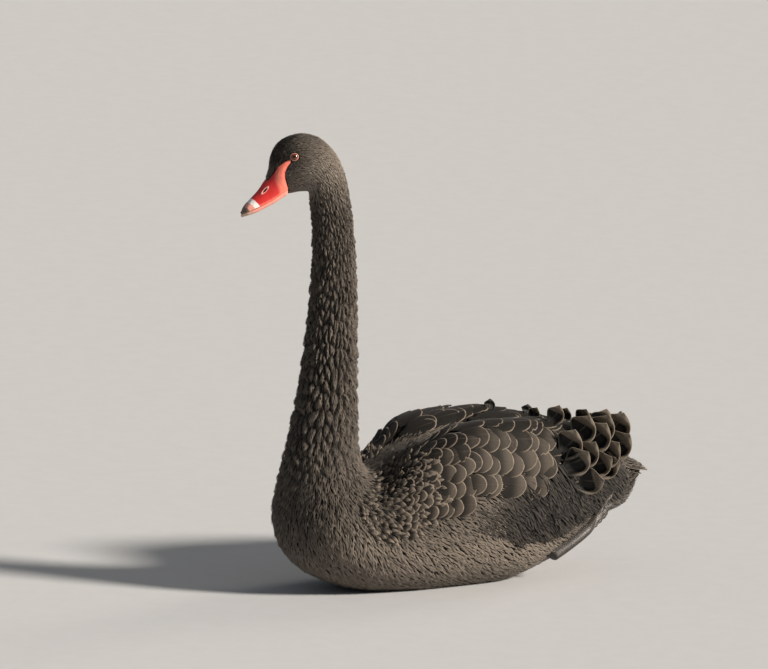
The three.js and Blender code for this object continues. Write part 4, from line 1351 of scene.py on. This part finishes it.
ROW_DRIFT = 0.13
ROW_SAMPLES = 24


def covert_tone(side, station, share):
    """Paler low on the wing and darker to the rear; darker still on the far wing and under the sails,
    which is painted shade.
    """
    shade_under_sails = smooth(2.75, 2.45, station) * smooth(0.12, 0.28, share)
    # Painted shade on the far wing and under the sails
    return (0.65 * smooth(0.3, 0.75, share) - 0.5 * smooth(3.4, 2.4, station)
            - 0.34 - 0.45 * (side < 0) - 1.3 * shade_under_sails)


def wing_feathers(side, random):
    """Rows of round-ended feathers, from the bend of the wing to the rear."""
    made = []
    station = COVERTS[-1, 0]
    row = 0
    while station > COVERTS[0, 0]:
        long, wide, pitch, top, bottom = columns_at(COVERTS, station)
        ends = wing_turn(np.full(2, station), np.array([top, bottom]), side)
        lie = look_up(np.full(ROW_SAMPLES, station), np.linspace(*ends, ROW_SAMPLES))
        reach = np.linalg.norm(np.diff(lie[:, POINT], axis=0), axis=1).sum()
        count = max(int(reach / (wide * COVERT_PACKED)), 2)
        for i in range(count + 1):
            share = (i + ROW_DRIFT * row % 1) / count
            if share > 1.02 or random.random() < COVERT_MISSING:
                continue
            high = max(1 - share / 0.5, 0)
            place = station + random.normal(0, 0.012) - 0.05 * share * (1 - share)
            down = top + (bottom - top) * (share + random.normal(0, 0.008))
            turn = float(wing_turn(np.array(place), np.array(down), side))
            length = long * (1 + SCAPULAR_LONGER * high) * (0.9 + 0.2 * random.random())
            width = wide * (0.9 + 0.22 * random.random())
            lean = 12 - 9 * high + 5 * smooth(3.4, 2.6, station)
            slant = side * (lean + random.normal(0, 5)) * DEGREE
            flat = 0.45 + 0.55 * smooth(0.1, 0.4, share)
            made.append((place, turn, length, width, slant, flat, covert_tone(side, station, share)))
        station -= pitch / look_up(np.full(2, station), ends)[:, PER_T].mean()
        row += 1
    t, turn, length, width, slant, flat, tone = np.array(made).T
    small = np.interp(length, [18, 45], [0.6, 1])
    vanes(f"wing_feathers_{SIDES[side]}", COVERT, WING_SPAN, random, (t, turn),
          (length, width, slant), -1.8 * small,
          COVERT_LIFT * small * flat * (0.7 + 0.6 * random.random(len(t))), tone,
          thickness=0.35, rows=18, ease=1.6, columns=11, widest=0.5, power=2.1, droop=0.05,
          end=-0.3, roll=side * 0.9, wave=0.6, fray=0.014)


# Long soft dark feathers that hang over the rear of the flank, in loose locks
DRAPE = tuft_material("flank_feathers", (0.007, 0.006, 0.006), (0.034, 0.030, 0.026),
                      (0.090, 0.077, 0.064), 0.4)
DRAPE_SPAN = (0.5, 4.1)
DRAPE_TURNS = (40, 120)
DRAPE_AREA = within(between([0.5, 1.1, 1.8, 2.6, 3.2, 3.9], [60, 62, 62, 56, 60, 76]),
                    between([0.5, 1.1, 1.8, 2.6, 3.2, 3.9], [96, 106, 110, 106, 96, 88]))
DRAPE_SPACING = 3.0
LOCK = 9


def draped(side, random):
    """Strands that run down and back over the flank, shorter round the rim of their area."""
    t, turn = scatter(DRAPE_SPAN, side_turns(side, *DRAPE_TURNS), level(DRAPE_SPACING), random,
                      DRAPE_AREA)
    count = len(t)
    _, y, z = look_up(t, turn)[:, POINT].T
    lock = np.sin(y / LOCK + 0.8 * np.sin(z / 13)) * np.sin(z / (1.6 * LOCK) + y / 31 + 1.3)
    rows, columns, outline = strand(6)
    inner = smooth(4.1, 2.9, t) * smooth(108, 92, turned_degrees(turn))
    length = (24 + 8 * random.random(count)) * (0.9 + 0.15 * lock) * (0.55 + 0.45 * inner)
    width = 3.4 * (0.8 + 0.4 * random.random(count))
    lean = 34 + inner * (np.interp(t, [0.5, 1.5, 2.6, 3.9], [36, 52, 60, 50]) - 34)
    slant = side * (lean + 10 * lock + random.normal(0, 7, count)) * DEGREE
    tip = (5 + 3.2 * lock) * inner + 2.5 * random.random(count)
    lift = strand_lift(-2.0, tip, width, rows, columns, np.ones(len(rows)))
    grids = lay(t, turn, length, width, slant, rows, columns, outline, lift)
    coat(f"flank_feathers_{SIDES[side]}", grids, rows, (t, turn), DRAPE_SPAN,
         random.random(count), -0.15 + 0.3 * lock + 0.9 * (1 - inner), DRAPE)


# The ruffled feathers over the rump, which stand like sails
# Its vanes are painted dark towards the root as shade in the mouths of the sails
SAIL = vane_material("ruffled_feathers", (0.004, 0.004, 0.003), (0.180, 0.150, 0.116),
                     (0.27, 0.225, 0.172), rim=0.9, rim_strength=0.75, gloss=0.34,
                     root_shade=(0.7, 0.3), shine=0.22)
SAIL_SPAN = (0, 4)
# Files of sails down the wing: station and how many
SAIL_FILES = [(2.6, 4), (2.35, 4), (2.08, 4), (1.8, 5), (1.54, 4), (1.28, 5)]
SAIL_FIRST_SHARE = 0.14
SAIL_LAST_SHARES = ((1.28, 2.2), (0.62, 0.9))
# Which way a sail points, in degrees above the run to the tail, by its share down the wing
SAIL_POINTS = ((0.12, 0.4, 0.62, 0.9), (36, 44, 20, -26))
# How far its face is turned to the tail, in degrees, by station
SAIL_YAWS = ((1.1, 2.6), (26, -14))
SAIL_LONG, SAIL_WIDE = 47, 38
SAIL_BIGGER, SAIL_BIGGEST_AT, SAIL_BIGGER_REACH = 0.3, 0.42, 0.16
SAIL_SHORT_TOP = 0.52
SAIL_BENT = 0.32
# Some are seen on edge, as narrow rolled lips
LIP_EVERY = 5
LIP_FROM = 0.45
LIP_POINTS, LIP_YAW, LIP_WIDE, LIP_BENT = 74, 62, 20, 0.8
SAIL_ROOT_DEPTH = 3
SAIL_LEAVES = {1: 0.5, -1: 1.5}
SAIL_TURNS = 0.42
SAIL_WIDEST = 0.58
SAIL_TIP = 0.45
SAIL_EDGE = 0.25
SAIL_SKEW = 0.2
SAIL_DEPTH = 0.5
# How far painted shade darkens the mouths of the sails
SAIL_MOUTH_SHADE = 2.4
SAIL_SHARES = rows_to_tip(22, 1.25)
SAIL_COLUMNS = columns_to_edges(15)
# The other wing is folded lower: its sails are smaller and point lower
FAR_SMALLER = 0.7
FAR_LOWER = 0.35
FAR_FROM = 0.5
# Two small sails stand alone on the far wing: station, share, length, width and points
LONE_SAILS = [
    (2.76, 0.14, 21, 18, 52),
    (2.14, 0.13, 21, 24, 40),
]
LONE_BENT = 0.6
# Painted shade on the two lone sails, in the shade of the far wing
LONE_SHADE = 2.2


def sail_hollow(share, u):
    """How deep in its hollow a place on a sail is: its top and right side stand out of it."""
    mouth = smooth(0.86, 0.66, share + 0.06 * u)
    return mouth * smooth(-0.95, -0.55, u) * (1 - 0.55 * smooth(0.7, 1, u))


def sail_mouth_shade(share, u):
    """How far inside its mouth, low on the vane, a place on a sail is, where its painted shade falls.
    """
    return smooth(0.78, 0.52, share + 0.16 * u) * smooth(-0.92, -0.5, u)


def sail(root, leave, aim, face, length, width, roll, random):
    """A vane that leaves its root one way, turns towards its aim and shows one face."""
    u = SAIL_COLUMNS
    grid = np.empty((len(SAIL_SHARES), len(u), 3))
    point = np.array(root, float)
    phase = random.random() * 2 * math.pi
    skew = SAIL_SKEW * (0.8 + 0.4 * random.random())
    before = 0

    def heading(share):
        ease = smooth(0, SAIL_TURNS, share)
        return unit(leave * (1 - ease) + aim * ease + face * SAIL_TIP * smooth(0.55, 1, share))

    for r, share in enumerate(SAIL_SHARES):
        point = point + heading(0.5 * (share + before)) * (share - before) * length
        before = share
        way = heading(share)
        beside = unit(np.cross(face, way))
        past = max((share - SAIL_WIDEST) / (1 - SAIL_WIDEST), 0)
        half = width / 2 * (0.45 + 0.55 * rising(share / SAIL_WIDEST))
        near = width / 2 * smooth(0.1, SAIL_WIDEST, share) * (1 - past**1.15) + 0.2
        far = half * max((1 - past**2.4) ** 0.6, 0.01)
        reach = np.where(u > 0, u * near, u * far)
        back = np.where(u > 0, SAIL_EDGE * near, -roll * far) * np.abs(u) ** 2.2
        back = back - SAIL_DEPTH * half * sail_hollow(share, u)
        ripple = 0.8 * np.sin(phase + 9 * share + 1.4 * u) * u**2 * share * (1 - past)
        lean = skew * width * past**1.5
        grid[r] = (point + np.outer(reach + lean, beside)
                   + np.outer(back + ripple, np.cross(way, beside)))
    return grid


class Ruffle:
    """The sails of one wing: their grids and the places of their roots."""

    def __init__(self, side, random):
        self.side = side
        self.random = random
        self.tailwards = np.array([side * 0.5, 0.87, 0])
        self.outwards = unit(np.array([side * 0.87, -0.5, 0.16]))
        self.grids = []
        self.places = []

    def add(self, t, share, leaves, points, face, length, width, roll):
        """A sail that leaves its root outwards and by so much towards the tail."""
        turn = float(wing_turn(np.array(t), np.array(share), self.side))
        here = look_up(np.array(t), np.array(turn)).astype(float)
        root = here[POINT] - here[OUT] * SAIL_ROOT_DEPTH
        leave = unit(-here[FORWARD] * leaves + here[OUT])
        aim = swung(points * DEGREE, self.tailwards, UPWARDS)
        self.grids.append(sail(root, leave, aim, face, length, width, roll, self.random))
        self.places.append((t, turn))

    def add_file_sail(self, station, share, lip):
        """A sail of a file, or a narrow lip in its place."""
        random = self.random
        far = self.side < 0
        t = station + random.normal(0, 0.05)
        points = np.interp(share, *SAIL_POINTS) + random.normal(0, 7)
        points = LIP_POINTS if lip else points * (FAR_LOWER if far and points > 0 else 1)
        yaw = LIP_YAW if lip else np.interp(t, *SAIL_YAWS) + random.normal(0, 8)
        face = swung(yaw * DEGREE, self.outwards, self.tailwards)
        size = 1 + SAIL_BIGGER * bell(SAIL_BIGGEST_AT, SAIL_BIGGER_REACH, share)
        size = size * (SAIL_SHORT_TOP + (1 - SAIL_SHORT_TOP) * smooth(0.22, 0.46, share))
        size = size * (FAR_SMALLER if far else 1) * (0.88 + 0.24 * random.random())
        wide = size * (LIP_WIDE if lip else SAIL_WIDE * (0.85 + 0.3 * random.random()))
        roll = (LIP_BENT if lip else SAIL_BENT) * (0.8 + 0.4 * random.random())
        self.add(t, share, SAIL_LEAVES[self.side], points, face, SAIL_LONG * size, wide, roll)


def ruffles(side, random):
    """The ruffle of one wing, with painted shade in the mouths of its sails and painted light on
    their tops and rolled sides.
    """
    ruffle = Ruffle(side, random)
    made = 0
    for row, (station, many) in enumerate(SAIL_FILES):
        for i in range(many):
            share = (i + 0.45 * (row % 2)) / many + 0.05 * random.normal()
            reach = np.interp(station, *SAIL_LAST_SHARES) - SAIL_FIRST_SHARE
            share = SAIL_FIRST_SHARE + reach * np.clip(share, 0, 1)
            made += 1
            lip = made % LIP_EVERY == 0 and share > LIP_FROM and side > 0
            if side > 0 or share >= FAR_FROM:
                ruffle.add_file_sail(station, share, lip)
    for t, share, long, wide, points in LONE_SAILS if side < 0 else []:
        ruffle.add(t, share, SAIL_LEAVES[1], points, ruffle.outwards * (-1, 1, 1), long, wide,
                   LONE_BENT)
    share, u = sheet(SAIL_SHARES, SAIL_COLUMNS)
    # Painted light on the top and the rolled side of each sail, and painted shade in its mouth
    tone = 0.3 + 0.35 * smooth(0, -1, u) + 0.5 * smooth(0.45, 0.9, share)
    tone = tone - SAIL_MOUTH_SHADE * sail_mouth_shade(share, u)
    count = len(ruffle.grids)
    tone = np.tile(tone.ravel(), (count, 1))
    # The lone sails of the far wing get painted shade
    if side < 0:
        tone[-len(LONE_SAILS):] -= LONE_SHADE
    coat(f"ruffled_feathers_{SIDES[side]}", np.array(ruffle.grids), SAIL_SHARES,
         np.array(ruffle.places).T, SAIL_SPAN, random.random(count), tone, SAIL, thickness=0.5)


for side in SIDES:
    shoulder(side, np.random.default_rng(110 + side))
    wing_feathers(side, np.random.default_rng(120 + side))
    draped(side, np.random.default_rng(130 + side))
    ruffles(side, np.random.default_rng(140 + side))

# Tail feathers
TAIL_TIERS = [
    # how many, how far they fan, root, length, width and drop
    (9, 19, (0, 236, 156), 68, 21, -6),
    (8, 15, (0, 230, 163), 56, 20, -8),
    (8, 14, (0, 228, 156), 70, 20, -12),
    (7, 12, (0, 222, 150), 68, 20, -20),
]
TAIL_SPAN = (-3, 1.5)
TAIL_ROOT_T = 0.3
TAIL_TONE = -0.5
TAIL_DROOP = 0.12


def tail_feathers(random):
    """Tiers of feathers that fan out and sag towards their tips."""
    grids, turns = [], []
    shares = rows_to_tip(16, 1.4)
    u = np.linspace(-1, 1, 7)
    for count, fan, root, long, wide, drop in TAIL_TIERS:
        for i in range(count):
            angle = -fan + 2 * fan * i / (count - 1)
            off = abs(i - (count - 1) / 2)
            turn = angle * DEGREE
            dip = (drop - abs(angle) * TAIL_DROOP) * DEGREE
            way = swung(dip, np.array([math.sin(turn), math.cos(turn), 0]), UPWARDS)
            across = np.array([math.cos(turn), -math.sin(turn), 0])
            start = np.array(root, float) + [angle * 0.5, 0, -off * 0.7]
            grid = np.empty((len(shares), len(u), 3))
            for r, share in enumerate(shares):
                past = max((share - 0.55) / 0.45, 0)
                half = wide / 2 * (0.6 + 0.4 * min(share / 0.4, 1)) * max(1 - past**1.8, 0.04)
                sag = -1.3 * u**2 - 1.6 * share**2
                grid[r] = (start + way * share * long + np.outer(u * half, across)
                           + np.outer(sag, np.cross(across, way)))
            grids.append(grid)
            turns.append(turn * 3)
    count = len(grids)
    coat("tail_feathers", np.array(grids), shares, (np.full(count, TAIL_ROOT_T), np.array(turns)),
         TAIL_SPAN, random.random(count), np.full(count, TAIL_TONE), SAIL, thickness=0.5)


tail_feathers(np.random.default_rng(150))

# Camera, lights and floor
CAMERA_AZIMUTH = 60 * DEGREE
CAMERA_RISE = 9.5 * DEGREE
CAMERA_DISTANCE = 30000
FRAME_WIDTH = 1152
AIM = (0, 0, 80)
AIM_RIGHT = -121.5
AIM_UP = 284.25
# Way to the right, to the camera and up, strength, colour and softness of each sun
SUNS = {
    "key": ((0.90, 0.39, 0.48), 7.1, (1.0, 0.91, 0.81), 0.18),
    "rim": ((0.75, -0.75, 0.5), 0.8, (1.0, 0.90, 0.78), 0.4),
}
FILL = (0.86, 0.92, 1.0, 1)
FILL_STRENGTH = 0.19
FLOOR_HALF = 40


def stand_back():
    """The camera at the photograph's viewing angle, and the suns that are placed from it."""
    right = Vector((math.cos(CAMERA_AZIMUTH), math.sin(CAMERA_AZIMUTH), 0))
    toward = Vector((math.sin(CAMERA_AZIMUTH) * math.cos(CAMERA_RISE),
                     -math.cos(CAMERA_AZIMUTH) * math.cos(CAMERA_RISE), math.sin(CAMERA_RISE)))
    aim = Vector(AIM) + right * AIM_RIGHT + toward.cross(right) * AIM_UP
    data = bpy.data.cameras.new("camera")
    data.sensor_width = 36
    data.lens = data.sensor_width * CAMERA_DISTANCE / FRAME_WIDTH
    data.clip_end = 200
    camera = linked("camera", data)
    camera.location = (aim + toward * CAMERA_DISTANCE) * MM
    camera.rotation_euler = toward.to_track_quat("Z", "Y").to_euler()
    bpy.context.scene.camera = camera
    flat = Vector((toward.x, toward.y, 0)).normalized()
    for name, ((sideways, towards, upwards), strength, colour, softness) in SUNS.items():
        light = bpy.data.lights.new(name, "SUN")
        light.energy = strength
        light.color = colour
        light.angle = softness
        way = right * sideways + flat * towards + Vector((0, 0, 1)) * upwards
        linked(name, light).rotation_euler = way.to_track_quat("Z", "Y").to_euler()


def fill():
    world = bpy.data.worlds.new("studio")
    world.use_nodes = True
    background = world.node_tree.nodes["Background"]
    background.inputs[0].default_value = FILL
    background.inputs[1].default_value = FILL_STRENGTH
    bpy.context.scene.world = world


def make_floor():
    mesh = bpy.data.meshes.new("floor")
    corners = [(x * FLOOR_HALF, y * FLOOR_HALF, 0) for x, y in ((-1, -1), (1, -1), (1, 1), (-1, 1))]
    mesh.from_pydata(corners, [], [(0, 1, 2, 3)])
    floor = linked("floor", mesh)
    paint = Paint("floor_paper", Specular_IOR_Level=0.05)
    grain = paint.noise(30.0, 4.0)
    colour = grain.blend((0.47, 0.48, 0.49), (0.52, 0.53, 0.54))
    mesh.materials.append(paint.finish(colour, grain.line(0.1, 0.7), grain, 0.05, 0.001))


stand_back()
fill()
make_floor()
bpy.context.scene.view_settings.view_transform = "Standard"
